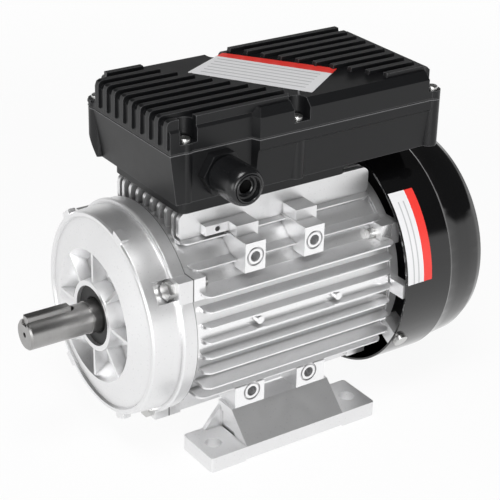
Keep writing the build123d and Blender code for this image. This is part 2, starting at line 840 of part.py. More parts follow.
# Fan endshield
fan_shield_back_x = frame_fan_x + fan_shield_flange
fan_shield_outline = [
    (frame_fan_x - shield_spigot, bore_radius - seat_gap),
    (frame_fan_x, bore_radius - seat_gap),
    (frame_fan_x, fan_shield_radius),
    (fan_shield_back_x, fan_shield_radius),
    (fan_shield_back_x + 4, bearing_outer_radius + 12),
    (fan_bearing_end_x + fan_shield_wall, fan_shield_hub_radius),
    (fan_bearing_end_x + fan_shield_wall, fan_shield_shaft_hole),
    (fan_bearing_end_x, fan_shield_shaft_hole),
    (fan_bearing_end_x, bearing_outer_radius + seat_gap),
    (fan_bearing_x, bearing_outer_radius + seat_gap),
    (fan_bearing_x, fan_shield_hub_radius),
    (fan_shield_back_x, fan_shield_hub_radius + 1),
    (fan_shield_back_x - 2, shield_inner_radius - 2),
    (frame_fan_x - shield_spigot, shield_inner_radius),
]
side_tab_angles = (0.0, 180.0)
with BuildPart() as fan_endshield:
    add(turned(fan_shield_outline))
    # Lugs for the bolts
    extrude(lug_section(frame_fan_x), amount=fan_shield_flange)
    # Lugs that carry the cowl, and plain tabs between them
    cowl_seat_radius = cowl_front_radius - cowl_sheet - seat_gap
    for angle in cowl_screw_angles:
        with BuildSketch(outward_plane(angle, cowl_screw_x, cowl_seat_radius)):
            Rectangle(cowl_lug_width, cowl_lug_width)
    extrude(amount=-(cowl_seat_radius - cowl_lug_inner_radius))
    for angle in side_tab_angles:
        with BuildSketch(outward_plane(angle, frame_fan_x + fan_shield_flange / 2, side_tab_radius)):
            Rectangle(fan_shield_flange, side_tab_width)
    extrude(amount=-(side_tab_radius - cowl_lug_inner_radius))
    with BuildSketch(cross_plane(frame_fan_x)):
        Circle(cowl_seat_radius + lug_bolt_pocket_radius * 2)
        Circle(cowl_seat_radius, mode=Mode.SUBTRACT)
    extrude(amount=fan_shield_flange * 3, mode=Mode.SUBTRACT)
    with BuildSketch(cross_plane(frame_fan_x)):
        with Locations(*lug_bolts):
            Circle(lug_bolt_radius + hole_gap)
    extrude(amount=fan_shield_flange, mode=Mode.SUBTRACT)
    with BuildSketch(cross_plane(fan_shield_back_x)):
        with Locations(*lug_bolts):
            Circle(lug_bolt_pocket_radius)
    extrude(amount=lug_bolt_head_height, mode=Mode.SUBTRACT)
    for angle in cowl_screw_angles:
        with BuildSketch(outward_plane(angle, cowl_screw_x, cowl_seat_radius)):
            Circle(cowl_screw_radius + seat_gap)
    extrude(amount=-cowl_screw_depth, mode=Mode.SUBTRACT)
save(fan_endshield.part, "fan_endshield")
save(bolt_set(fan_shield_back_x, fan_shield_flange, -1), "fan_endshield_bolts")

# Fan cowl, a pressed sheet shell with a grille in its back
cowl_outline = [
    (cowl_start_x, cowl_front_radius),
    (cowl_step_x, cowl_front_radius),
    (cowl_step_x + cowl_step_length, cowl_rear_radius),
    (cowl_end_x - cowl_edge_round, cowl_tail_radius),
    (cowl_end_x - cowl_edge_round * 0.3, cowl_tail_radius - cowl_edge_round * 0.3),
    (cowl_end_x, cowl_tail_radius - cowl_edge_round),
    (cowl_end_x, 0),
    (cowl_end_x - cowl_sheet, 0),
    (cowl_end_x - cowl_sheet, cowl_tail_radius - cowl_edge_round - cowl_sheet / 2),
    (cowl_end_x - cowl_edge_round * 0.3 - cowl_sheet, cowl_tail_radius - cowl_edge_round * 0.3 - cowl_sheet),
    (cowl_end_x - cowl_edge_round - cowl_sheet / 2, cowl_tail_radius - cowl_sheet),
    (cowl_step_x + cowl_step_length, cowl_rear_radius - cowl_sheet),
    (cowl_step_x, cowl_front_radius - cowl_sheet),
    (cowl_start_x, cowl_front_radius - cowl_sheet),
]
with BuildPart() as fan_cowl:
    add(turned(cowl_outline))
    # Curved slots in rings
    with BuildSketch(cross_plane(cowl_end_x - cowl_sheet)):
        for slot_radius, slot_count in grille_rings:
            slot_angle = 360 / slot_count - degrees(grille_web / slot_radius)
            end_angle = slot_angle - degrees(grille_slot_width / slot_radius)
            for place in range(slot_count):
                start_angle = place * 360 / slot_count - end_angle / 2
                with BuildLine() as slot_line:
                    CenterArc((0, 0), slot_radius, start_angle, end_angle)
                SlotArc(arc=slot_line.edge(), height=grille_slot_width)
    extrude(amount=cowl_sheet, mode=Mode.SUBTRACT)
    for angle in cowl_screw_angles:
        with BuildSketch(outward_plane(angle, cowl_screw_x, cowl_front_radius + 1)):
            Circle(cowl_screw_radius + hole_gap)
    extrude(amount=-2 * cowl_sheet - 1, mode=Mode.SUBTRACT)
save(fan_cowl.part, "fan_cowl")

cowl_head_seat = cowl_front_radius + seat_gap
with BuildPart() as cowl_screws:
    for angle in cowl_screw_angles:
        with BuildSketch(outward_plane(angle, cowl_screw_x, cowl_head_seat)):
            Circle(cowl_screw_head_radius)
    extrude(amount=cowl_screw_head_height)
    for angle in cowl_screw_angles:
        with BuildSketch(outward_plane(angle, cowl_screw_x, cowl_head_seat)):
            Circle(cowl_screw_radius)
    extrude(amount=-(cowl_screw_depth - 0.5))
save(cowl_screws.part, "cowl_screws")

# Stator
with BuildPart() as stator_core:
    with BuildSketch(cross_plane(core_start_x)):
        Circle(bore_radius - seat_gap)
        Circle(stator_bore_radius, mode=Mode.SUBTRACT)
        with PolarLocations(stator_bore_radius + stator_slot_depth / 2 - 0.5, stator_slot_count):
            Rectangle(stator_slot_depth, stator_slot_width, mode=Mode.SUBTRACT)
    extrude(amount=core_length)
save(stator_core.part, "stator_core")


def winding_head(start_x, length):
    """Lacquered winding head that stands out of the core, rounded at its free end."""
    far_x = start_x + length
    bend = winding_round if length > 0 else -winding_round
    profile = [
        (start_x, winding_inner_radius),
        (start_x, winding_outer_radius),
        (far_x - bend, winding_outer_radius),
        (far_x, winding_outer_radius - winding_round),
        (far_x, winding_inner_radius + winding_round),
        (far_x - bend, winding_inner_radius),
    ]
    return turned(profile)


save(winding_head(core_start_x, -winding_overhang), "drive_winding_head")
save(winding_head(core_end_x, winding_overhang), "fan_winding_head")

# Rotor
with BuildPart() as shaft:
    shaft_steps = [
        (shaft_tip_x, 0),
        (shaft_tip_x, shaft_end_radius - shaft_end_chamfer),
        (shaft_tip_x + shaft_end_chamfer, shaft_end_radius),
        (shoulder_x, shaft_end_radius),
        (shoulder_x, bearing_bore_radius - seat_gap),
        (drive_bearing_end_x, bearing_bore_radius - seat_gap),
        (drive_bearing_end_x, shaft_rotor_radius - seat_gap),
        (governor_x + governor_hub_length + governor_disc_thickness, shaft_rotor_radius - seat_gap),
        (fan_bearing_x - 0.5, collar_bore_radius - slide_gap),
        (fan_bearing_x - 0.5, bearing_bore_radius - seat_gap),
        (fan_bearing_end_x, bearing_bore_radius - seat_gap),
        (fan_bearing_end_x, shaft_fan_radius - seat_gap),
        (fan_end_x + 0.2, shaft_fan_radius - seat_gap),
        (fan_end_x + 0.2, shaft_fan_radius - circlip_groove_depth),
        (fan_end_x + 0.3 + circlip_width, shaft_fan_radius - circlip_groove_depth),
        (fan_end_x + 0.3 + circlip_width, shaft_fan_radius - seat_gap),
        (shaft_fan_end_x - 1, shaft_fan_radius - seat_gap),
        (shaft_fan_end_x, shaft_fan_radius - 1),
        (shaft_fan_end_x, 0),
    ]
    add(turned(shaft_steps))
    key_floor = shaft_height + shaft_end_radius - key_depth_in_shaft
    key_middle_x = shaft_tip_x + key_tip_gap + key_length / 2
    # Keyway, open at the tip
    with BuildSketch(Plane.XY.offset(key_floor)):
        with Locations((key_middle_x - key_tip_gap, 0)):
            Rectangle(key_length + 2 * key_tip_gap, key_width)
        with Locations((key_middle_x + key_length / 2, 0)):
            Circle(key_width / 2)
    extrude(amount=key_depth_in_shaft + 1, mode=Mode.SUBTRACT)
    with BuildSketch(cross_plane(shaft_tip_x)):
        Circle(centre_hole_radius)
    extrude(amount=centre_hole_depth, mode=Mode.SUBTRACT)
save(shaft.part, "shaft")

with BuildPart() as shaft_key:
    with BuildSketch(Plane.XY.offset(key_floor + seat_gap)):
        with Locations((key_middle_x, 0)):
            Rectangle(key_length, key_width - 2 * seat_gap)
    extrude(amount=key_height)
    chamfer(shaft_key.edges().group_by(Axis.Z)[-1], 0.4)
save(shaft_key.part, "shaft_key")

save(ring(core_start_x, core_length, rotor_radius, shaft_rotor_radius), "rotor_core")

with BuildPart() as rotor_end_rings:
    for start_x, direction in ((core_start_x, -1), (core_end_x, 1)):
        add(ring(min(start_x, start_x + direction * end_ring_length), end_ring_length, end_ring_outer, end_ring_inner))
        with BuildSketch(cross_plane(start_x + direction * end_ring_length)):
            middle_radius = (end_ring_outer + end_ring_inner) / 2
            with PolarLocations(middle_radius, end_ring_blade_count):
                Rectangle(end_ring_outer - end_ring_inner - 2, end_ring_blade_thickness)
        extrude(amount=direction * end_ring_blade_length)
save(rotor_end_rings.part, "rotor_end_rings")


def bearing_ring(start_x, seat_radius, land_radius):
    """Bearing ring with a groove for the balls, between its seat and its land."""
    middle_x = start_x + bearing_width / 2
    with BuildPart() as race:
        with BuildSketch(side_plane):
            with Locations((middle_x, (seat_radius + land_radius) / 2)):
                Rectangle(bearing_width, abs(seat_radius - land_radius))
            with Locations((middle_x, bearing_pitch_radius)):
                Circle(race_groove_radius, mode=Mode.SUBTRACT)
        revolve(axis=motor_axis)
    return race.part


def ball_set(start_x):
    """Balls of one bearing."""
    middle_x = start_x + bearing_width / 2
    with BuildPart() as balls:
        with Locations(cross_plane(middle_x)):
            with PolarLocations(bearing_pitch_radius, ball_count):
                Sphere(ball_radius)
    return balls.part


def ball_cage(start_x):
    """Cage of one bearing, a ring with a pocket for each ball."""
    middle_x = start_x + bearing_width / 2
    with BuildPart() as cage:
        add(ring(middle_x - cage_width / 2, cage_width, cage_outer_radius, cage_inner_radius))
        for place in range(ball_count):
            with BuildSketch(outward_plane(place * 360 / ball_count, middle_x, cage_outer_radius + 1)):
                Circle(cage_pocket_radius)
        extrude(amount=-(cage_outer_radius - cage_inner_radius + 2), mode=Mode.SUBTRACT)
    return cage.part


for end, bearing_start in (("drive", drive_bearing_x), ("fan", fan_bearing_x)):
    save(bearing_ring(bearing_start, bearing_outer_radius, outer_land_radius), f"{end}_bearing_outer_ring")
    save(bearing_ring(bearing_start, bearing_bore_radius, inner_land_radius), f"{end}_bearing_inner_ring")
    save(ball_set(bearing_start), f"{end}_bearing_balls")
    save(ball_cage(bearing_start), f"{end}_bearing_cage")

# Shaft seal with a thin lip round the shaft
seal_outline = [
    (seal_start_x, shield_hub_bore - seat_gap),
    (seal_start_x + seal_width, shield_hub_bore - seat_gap),
    (seal_start_x + seal_width, shield_hub_bore - 1.5),
    (seal_start_x + 1.5, shield_hub_bore - 1.5),
    (seal_start_x + 1.5, bearing_bore_radius + 1.5),
    (seal_start_x + seal_width / 2, bearing_bore_radius + 1.5),
    (seal_start_x + seal_width / 2, bearing_bore_radius + seal_lip_gap),
    (seal_start_x + seal_width / 2 - 1, bearing_bore_radius + seal_lip_gap),
    (seal_start_x, bearing_bore_radius + 1.5),
]
save(turned(seal_outline), "shaft_seal")
save(
    ring(drive_bearing_x - wave_spring_thickness, wave_spring_thickness, shield_hub_bore - 0.1, inner_land_radius),
    "wave_spring",
)

# Cooling fan with straight blades
with BuildPart() as cooling_fan:
    add(ring(fan_start_x, fan_hub_length, fan_hub_radius, shaft_fan_radius))
    add(ring(fan_start_x, fan_disc_thickness, fan_radius, shaft_fan_radius))
    with BuildSketch(cross_plane(fan_start_x)):
        blade_length = fan_radius - fan_hub_radius + 1
        with PolarLocations((fan_radius + fan_hub_radius - 1) / 2, fan_blade_count):
            Rectangle(blade_length, fan_blade_thickness)
    extrude(amount=fan_blade_height)
save(cooling_fan.part, "cooling_fan")

with BuildPart() as fan_circlip:
    with BuildSketch(cross_plane(fan_end_x + 0.25)):
        Circle(circlip_outer_radius)
        Circle(shaft_fan_radius - circlip_groove_depth, mode=Mode.SUBTRACT)
        with BuildLine():
            gap_reach = circlip_outer_radius * 2
            gap_half = radians(circlip_gap_angle / 2)
            Polyline(
                (0, 0),
                (gap_reach * cos(gap_half), gap_reach * sin(gap_half)),
                (gap_reach * cos(gap_half), -gap_reach * sin(gap_half)),
                close=True,
            )
        make_face(mode=Mode.SUBTRACT)
    extrude(amount=circlip_width)
save(fan_circlip.part, "fan_circlip")

# Centrifugal switch: governor on the shaft, sliding collar, two swinging weights, contact arm
with BuildPart() as governor_plate:
    add(ring(governor_x, governor_disc_thickness, governor_disc_radius, shaft_rotor_radius))
    add(ring(governor_end_x, governor_hub_length, governor_hub_radius, shaft_rotor_radius))
    # Ears on both sides of each weight, with the pin between them
    ear_inner_y = weight_width / 2 + hole_gap
    ear_middle_y = ear_inner_y + governor_ear_thickness / 2
    ear_middle_rise = (governor_ear_low_rise + governor_ear_high_rise) / 2
    with BuildSketch(cross_plane(governor_end_x)):
        with Locations(*[(y * ear_middle_y, z * ear_middle_rise) for y in (-1, 1) for z in (-1, 1)]):
            Rectangle(governor_ear_thickness, governor_ear_high_rise - governor_ear_low_rise)
    extrude(amount=governor_ear_length)
    with BuildSketch(side_plane.offset(-ear_middle_y)):
        with Locations((weight_pin_x, weight_pin_rise), (weight_pin_x, -weight_pin_rise)):
            Circle(weight_pin_radius)
    extrude(amount=2 * ear_middle_y)
save(governor_plate.part, "governor_plate")
save(ring(collar_x, collar_width, collar_radius, collar_bore_radius), "switch_collar")


def governor_weight(side):
    """Weight with a finger behind the collar; it swings about a pin above or below the shaft."""
    with BuildPart() as weight:
        with BuildSketch(side_plane.offset(-weight_width / 2)):
            with Locations((weight_start_x + weight_length / 2, side * (weight_low_rise + weight_height / 2))):
                Rectangle(weight_length, weight_height)
        extrude(amount=weight_width)
        finger_x = collar_x - slide_gap - weight_finger_thickness / 2
        finger_length = weight_low_rise + 1 - weight_finger_low_rise
        with BuildSketch(side_plane.offset(-weight_finger_width / 2)):
            with Locations((finger_x, side * (weight_finger_low_rise + finger_length / 2))):
                Rectangle(weight_finger_thickness, finger_length)
        extrude(amount=weight_finger_width)
        with BuildSketch(side_plane.offset(-weight_width / 2)):
            with Locations((weight_pin_x, side * weight_pin_rise)):
                Circle(weight_pin_radius + slide_gap)
        extrude(amount=weight_width, mode=Mode.SUBTRACT)
    return weight.part


save(governor_weight(1), "upper_governor_weight")
save(governor_weight(-1), "lower_governor_weight")

pin_x = contact_arm_x + contact_arm_thickness / 2
with BuildPart() as switch_plate:
    add(ring(switch_plate_x, switch_plate_thickness, switch_plate_outer, switch_plate_inner))
    # Legs that stand on the endshield
    with BuildSketch(cross_plane(switch_plate_x + switch_plate_thickness)):
        with Locations((0, switch_leg_place), (0, -switch_leg_place), (switch_leg_place, 0)):
            Circle(switch_leg_radius)
    extrude(amount=switch_leg_length)
    # Block with two ears and a pin for the contact arm, and the stud of the fixed contact
    block_front_x = pin_x + contact_knuckle_radius + hole_gap
    ear_low = contact_neck_half_height + hole_gap
    with BuildSketch(cross_plane(block_front_x)):
        with Locations((contact_pin_y, 0)):
            Rectangle(contact_block, 2 * (ear_low + contact_ear_height))
    extrude(amount=switch_plate_x - block_front_x)
    with BuildSketch(cross_plane(pin_x - contact_knuckle_radius)):
        for side in (-1, 1):
            with Locations((contact_pin_y, side * (ear_low + contact_ear_height / 2))):
                Rectangle(contact_block, contact_ear_height)
    extrude(amount=block_front_x - pin_x + contact_knuckle_radius)
    with BuildSketch(Plane.XY.offset(shaft_height - ear_low)):
        with Locations((pin_x, contact_pin_y)):
            Circle(contact_pin_radius)
    extrude(amount=2 * ear_low)
    with BuildSketch(cross_plane(contact_arm_x + contact_arm_thickness + contact_gap)):
        with Locations((contact_stud_y, 0)):
            Circle(contact_stud_radius)
    extrude(amount=switch_plate_x - contact_arm_x - contact_arm_thickness - contact_gap)
save(switch_plate.part, "switch_plate")

with BuildPart() as contact_arm:
    with BuildSketch(cross_plane(contact_arm_x)):
        with Locations(((contact_tail_y + contact_fork_y) / 2, 0)):
            Rectangle(contact_fork_y - contact_tail_y, 2 * contact_neck_half_height)
        with Locations(((contact_fork_y + contact_fork_end_y) / 2, 0)):
            Rectangle(contact_fork_end_y - contact_fork_y, 2 * contact_arm_half_height)
        with Locations(((contact_opening_y + contact_fork_end_y) / 2, 0)):
            opening_length = contact_fork_end_y - contact_opening_y
            Rectangle(opening_length, 2 * contact_opening_half_height, mode=Mode.SUBTRACT)
    extrude(amount=contact_arm_thickness)
    # Pads that the collar pushes
    with BuildSketch(cross_plane(collar_x + collar_width + contact_gap)):
        for side in (-1, 1):
            with Locations((0, side * (contact_opening_half_height + contact_pad_height / 2))):
                Rectangle(2 * contact_pad_half_width, contact_pad_height)
    extrude(amount=contact_arm_x - collar_x - collar_width - contact_gap)
    # Knuckle round the pin
    with BuildSketch(Plane.XY.offset(shaft_height - contact_neck_half_height)):
        with Locations((pin_x, contact_pin_y)):
            Circle(contact_knuckle_radius)
    extrude(amount=2 * contact_neck_half_height)
    with BuildSketch(Plane.XY.offset(shaft_height - contact_neck_half_height)):
        with Locations((pin_x, contact_pin_y)):
            Circle(contact_pin_radius + contact_pin_gap)
    extrude(amount=2 * contact_neck_half_height, mode=Mode.SUBTRACT)
save(contact_arm.part, "contact_arm")


def box_outline(inset):
    """Outline of the box seen from above, with the wall beside the gland set back."""
    left = box_left_x + inset
    right = box_right_x - inset
    wide = box_half_width - inset
    narrow = gland_wall_y - inset
    return [
        (left, wide),
        (left, -narrow),
        (gland_wall_end_x + inset / 2, -narrow),
        (gland_wall_end_x + gland_wall_step + inset / 2, -wide),
        (right, -wide),
        (right, wide),
    ]


# Base of the box
with BuildPart() as box_base:
    with BuildSketch(Plane.YZ.offset(box_left_x)):
        with BuildLine():
            Polyline(
                (-near_edge_low_y, box_bottom_z),
                (-near_edge_band_y, near_edge_band_z),
                (-box_half_width, near_edge_band_z + near_edge_band_slope),
                (-box_half_width, box_split_z),
                (box_half_width, box_split_z),
                (box_half_width, far_edge_bend_z),
                (far_edge_low_y, box_bottom_z),
                close=True,
            )
        make_face()
    extrude(amount=box_right_x - box_left_x)
    # Ends that lean in towards the bottom
    with BuildSketch(Plane.XZ.offset(-2 * box_half_width)):
        with BuildLine():
            Polyline(
                (box_left_x, box_split_z),
                (box_right_x, box_split_z),
                (box_right_x - box_right_slope, box_bottom_z),
                (box_left_x + box_left_slope, box_bottom_z),
                close=True,
            )
        make_face()
    extrude(amount=4 * box_half_width, mode=Mode.INTERSECT)
    with BuildSketch(Plane.XY.offset(box_bottom_z)):
        with BuildLine():
            Polyline(*box_outline(0), close=True)
        make_face()
    extrude(amount=box_split_z - box_bottom_z, mode=Mode.INTERSECT)
    upright = box_base.edges().filter_by(lambda edge: abs(edge.tangent_at(0.5).Z) > 0.8)
    far_edges = upright.filter_by(lambda edge: edge.center().Y > 0)
    fillet(far_edges, box_corner_radius)
    # Neck that stands on the frame
    with BuildSketch(Plane.XY.offset(gasket_top_z)):
        with Locations(((neck_left_x + neck_right_x) / 2, 0)):
            RectangleRounded(neck_right_x - neck_left_x, 2 * neck_half_width, box_corner_radius)
    extrude(amount=box_floor_z - gasket_top_z)
    # Posts for the cover screws, seen from outside at the corners
    with BuildSketch(Plane.XY.offset(box_bottom_z)):
        with Locations(*screw_posts):
            Circle(post_radius)
    extrude(amount=box_split_z - box_bottom_z)
    # Inside of the box, around the posts, and of the neck
    with BuildSketch(Plane.XY.offset(box_floor_z)):
        with BuildLine():
            Polyline(
                (box_left_x + box_left_slope + box_wall, far_edge_low_y - box_wall),
                (box_left_x + box_left_slope + box_wall, -gland_wall_y + box_wall),
                (gland_wall_end_x + gland_wall_step, -gland_wall_y + box_wall),
                (gland_wall_end_x + gland_wall_step + box_wall, -near_edge_low_y + box_wall),
                (box_right_x - box_right_slope - box_wall, -near_edge_low_y + box_wall),
                (box_right_x - box_right_slope - box_wall, far_edge_low_y - box_wall),
                close=True,
            )
        make_face()
        with Locations(*screw_posts):
            Circle(post_radius, mode=Mode.SUBTRACT)
    extrude(amount=box_split_z - box_floor_z, mode=Mode.SUBTRACT)
    with BuildSketch(Plane.XY.offset(neck_floor_z)):
        with Locations(((neck_left_x + neck_right_x) / 2, 0)):
            inner_length = neck_right_x - neck_left_x - 2 * neck_floor
            RectangleRounded(inner_length, 2 * (neck_half_width - neck_floor), box_corner_radius - neck_floor)
    extrude(amount=box_floor_z - neck_floor_z, mode=Mode.SUBTRACT)
    # Way for the wires, holes for the screws and hole for the gland
    with BuildSketch(Plane.XY.offset(gasket_top_z)):
        Rectangle(wire_hole_length, wire_hole_width)
        with Locations(*box_screw_places):
            Circle(box_screw_radius + hole_gap)
    extrude(amount=neck_floor, mode=Mode.SUBTRACT)
    with BuildSketch(Plane.XY.offset(box_split_z)):
        with Locations(*screw_posts):
            Circle(cover_screw_radius + seat_gap)
    extrude(amount=-cover_screw_depth, mode=Mode.SUBTRACT)
    gland_plane = Plane(origin=(gland_x, -gland_wall_y, gland_z), x_dir=(1, 0, 0), z_dir=(0, -1, 0))
    with BuildSketch(gland_plane):
        Circle(gland_thread_radius + seat_gap)
    extrude(amount=-2 * box_wall, mode=Mode.SUBTRACT)
save(box_base.part, "box_base")

with BuildPart() as base_gasket:
    with BuildSketch(Plane.XY.offset(frame_top_z)):
        Rectangle(pad_length, pad_width)
        Rectangle(wire_hole_length, wire_hole_width, mode=Mode.SUBTRACT)
        with Locations(*box_screw_places):
            Circle(box_screw_radius + hole_gap, mode=Mode.SUBTRACT)
    extrude(amount=gasket_thickness)
save(base_gasket.part, "base_gasket")

with BuildPart() as box_screws:
    with BuildSketch(Plane.XY.offset(neck_floor_z)):
        with Locations(*box_screw_places):
            Circle(box_screw_head_radius)
    extrude(amount=box_screw_head_height)
    with BuildSketch(Plane.XY.offset(neck_floor_z)):
        with Locations(*box_screw_places):
            Circle(box_screw_radius)
    extrude(amount=-(neck_floor + gasket_thickness + box_screw_depth))
save(box_screws.part, "box_screws")

with BuildPart() as cover_gasket:
    with BuildSketch(Plane.XY.offset(box_split_z)):
        with BuildLine():
            Polyline(*box_outline(0.4), close=True)
        make_face()
        with BuildLine():
            Polyline(*box_outline(0.4 + cover_gasket_width), close=True)
        make_face(mode=Mode.SUBTRACT)
        with Locations(*screw_posts):
            Circle(post_radius - 0.4)
        with Locations(*screw_posts):
            Circle(cover_screw_radius + hole_gap, mode=Mode.SUBTRACT)
    extrude(amount=cover_gasket_thickness)
save(cover_gasket.part, "cover_gasket")

# Cover of the box
cover_wall_top_z = box_top_z - cover_bevel
cover_roof_z = box_top_z - box_wall
with BuildPart() as box_cover:
    with BuildSketch(Plane.XY.offset(cover_bottom_z)):
        with BuildLine():
            Polyline(*box_outline(0), close=True)
        make_face()
    extrude(amount=box_top_z - cover_bottom_z)
    upright = box_cover.edges().filter_by(Axis.Z)
    fillet(upright.filter_by(lambda edge: edge.center().Y > 0), box_corner_radius)
    # Wide bevel along the side of the gland, narrow edges elsewhere
    roof_edges = box_cover.faces().sort_by(Axis.Z)[-1].edges()
    chamfer(roof_edges.filter_by(lambda edge: edge.center().Y < -gland_wall_y + 1), cover_bevel)
    roof_edges = box_cover.faces().sort_by(Axis.Z)[-1].edges()
    chamfer(roof_edges.filter_by(lambda edge: edge.center().Y > -gland_wall_y + cover_bevel + 1), cover_edge)
    # Ribs in two fields with a slanting band left free between them
    for place in range(rib_count):
        rib_y = rib_first_y - place * rib_pitch
        left_end_x = band_left_x - band_slant * rib_y
        right_start_x = band_right_x - band_slant * rib_y
        rib_end_x = box_left_x - rib_left_rise + rib_lean
        with BuildSketch(Plane.XZ.offset(-rib_y - rib_width / 2)):
            with BuildLine():
                Polyline(
                    (box_left_x + 1, rib_foot_z),
                    (box_left_x - rib_left_rise, rib_foot_z + 1),
                    (rib_end_x, rib_top_z - rib_end_round),
                    (rib_end_x + 0.3 * rib_end_round, rib_top_z - 0.3 * rib_end_round),
                    (rib_end_x + rib_end_round, rib_top_z),
                    (left_end_x, rib_top_z),
                    (left_end_x + 1, cover_roof_z),
                    (box_left_x + cover_bevel + 2, cover_roof_z),
                    close=True,
                )
            make_face()
            with BuildLine():
                Polyline(
                    (right_start_x - 1, cover_roof_z),
                    (right_start_x, rib_top_z),
                    (rib_right_end_x, rib_top_z),
                    (rib_right_end_x + 1, cover_roof_z),
                    close=True,
                )
            make_face()
    extrude(amount=rib_width)
    # Seats of the screws that stand out at the corners
    with BuildSketch(Plane.XY.offset(cover_bottom_z)):
        with Locations(*screw_posts):
            Circle(post_radius)
    extrude(amount=post_seat_z - cover_bottom_z)
    # Inside of the cover, around the screws
    for level_z, top_z, inset in (
        (cover_bottom_z, cover_wall_top_z, box_wall),
        (cover_wall_top_z, cover_roof_z, box_wall + cover_bevel / 2),
    ):
        with BuildSketch(Plane.XY.offset(level_z)):
            with BuildLine():
                Polyline(*box_outline(inset), close=True)
            make_face()
            with Locations(*screw_posts):
                Circle(post_pocket_radius + post_wall, mode=Mode.SUBTRACT)
        extrude(amount=top_z - level_z, mode=Mode.SUBTRACT)
    # Pockets of the screws, open towards the sides of the box
    with BuildSketch(Plane.XY.offset(post_seat_z)):
        with Locations(*screw_posts):
            Circle(post_pocket_radius)
        with Locations(*[(x, y - post_pocket_radius) for x, y in near_screw_posts]):
            Rectangle(2 * post_pocket_radius, 2 * post_pocket_radius)
        with Locations(*[(x, y + post_pocket_radius) for x, y in far_screw_posts]):
            Rectangle(2 * post_pocket_radius, 2 * post_pocket_radius)
    extrude(amount=rib_top_z - post_seat_z, mode=Mode.SUBTRACT)
    with BuildSketch(Plane.XY.offset(cover_bottom_z)):
        with Locations(*screw_posts):
            Circle(cover_screw_radius + hole_gap)
    extrude(amount=post_seat_z - cover_bottom_z, mode=Mode.SUBTRACT)
save(box_cover.part, "box_cover")

with BuildPart() as cover_screws:
    with BuildSketch(Plane.XY.offset(post_seat_z)):
        with Locations(*screw_posts):
            Circle(cover_screw_head_radius)
    extrude(amount=cover_screw_head_height)
    fillet(cover_screws.faces().sort_by(Axis.Z)[-len(screw_posts):].edges(), cover_screw_dome)
    with BuildSketch(Plane.XY.offset(post_seat_z)):
        with Locations(*screw_posts):
            Circle(cover_screw_radius)
    extrude(amount=-(post_seat_z - box_split_z + cover_screw_depth - 1))
    # Cross recess
    with BuildSketch(Plane.XY.offset(post_seat_z + cover_screw_head_height)):
        with Locations(*screw_posts):
            Rectangle(cover_screw_head_radius, cover_screw_cross)
            Rectangle(cover_screw_cross, cover_screw_head_radius)
    extrude(amount=-cover_screw_head_height / 2, mode=Mode.SUBTRACT)
save(cover_screws.part, "cover_screws")


def gland_ring(start, length, outer, inner):
    """Ring about the gland axis, measured outwards from the wall of the box."""
    with BuildPart() as body:
        with BuildSketch(gland_plane.offset(start)):
            Circle(outer)
            Circle(inner, mode=Mode.SUBTRACT)
        extrude(amount=length)
    return body.part


# Cable gland
gland_nut_start_y = gland_hex_length + gland_nut_start
gland_inside = box_wall + gland_locknut_thickness + 1
seal_pocket = gland_seal_radius + slide_gap
with BuildPart() as gland_body:
    add(gland_ring(-gland_inside, gland_inside, gland_thread_radius, gland_bore))
    with BuildSketch(gland_plane):
        RegularPolygon(gland_flats / 2, 6, major_radius=False)
        Circle(gland_bore, mode=Mode.SUBTRACT)
    extrude(amount=gland_hex_length)
    add(gland_ring(gland_hex_length, gland_collar_length, gland_thread_radius, gland_bore))
    with BuildSketch(gland_plane.offset(gland_hex_length + gland_collar_length)):
        Circle(seal_pocket)
    extrude(amount=-(gland_hex_length + gland_collar_length - gland_seal_start + slide_gap), mode=Mode.SUBTRACT)
save(gland_body.part, "gland_body")

with BuildPart() as gland_nut:
    nut_end = gland_nut_start_y + gland_nut_length
    nut_plane = Plane(origin=gland_plane.origin, x_dir=(0, -1, 0), z_dir=(0, 0, 1))
    with BuildSketch(nut_plane):
        with BuildLine():
            Polyline(
                (gland_nut_start_y, gland_thread_radius + slide_gap),
                (gland_nut_start_y, gland_nut_radius - 0.6),
                (gland_nut_start_y + 0.6, gland_nut_radius),
                (nut_end, gland_nut_radius),
                (nut_end + gland_dome_length * 0.6, (gland_nut_radius + gland_dome_radius) / 2 + 0.6),
                (nut_end + gland_dome_length, gland_dome_radius),
                (nut_end + gland_dome_length, gland_bore),
                (nut_end, gland_bore),
                (nut_end, seal_pocket),
                (gland_hex_length + gland_collar_length + 1, seal_pocket),
                (gland_hex_length + gland_collar_length + 1, gland_thread_radius + slide_gap),
                close=True,
            )
        make_face()
    revolve(axis=Axis(gland_plane.origin, (0, -1, 0)))
    with BuildSketch(gland_plane.offset(gland_nut_start_y)):
        with PolarLocations(gland_nut_radius + gland_nut_flute_radius * 0.6, gland_nut_flute_count):
            Circle(gland_nut_flute_radius)
    extrude(amount=gland_nut_length - 1, mode=Mode.SUBTRACT)
save(gland_nut.part, "gland_nut")
save(gland_ring(gland_seal_start, gland_seal_length, gland_seal_radius, gland_bore), "gland_seal")

with BuildPart() as gland_locknut:
    with BuildSketch(gland_plane.offset(-box_wall)):
        RegularPolygon(gland_locknut_flats / 2, 6, major_radius=False)
        Circle(gland_thread_radius + seat_gap, mode=Mode.SUBTRACT)
    extrude(amount=-gland_locknut_thickness)
save(gland_locknut.part, "gland_locknut")

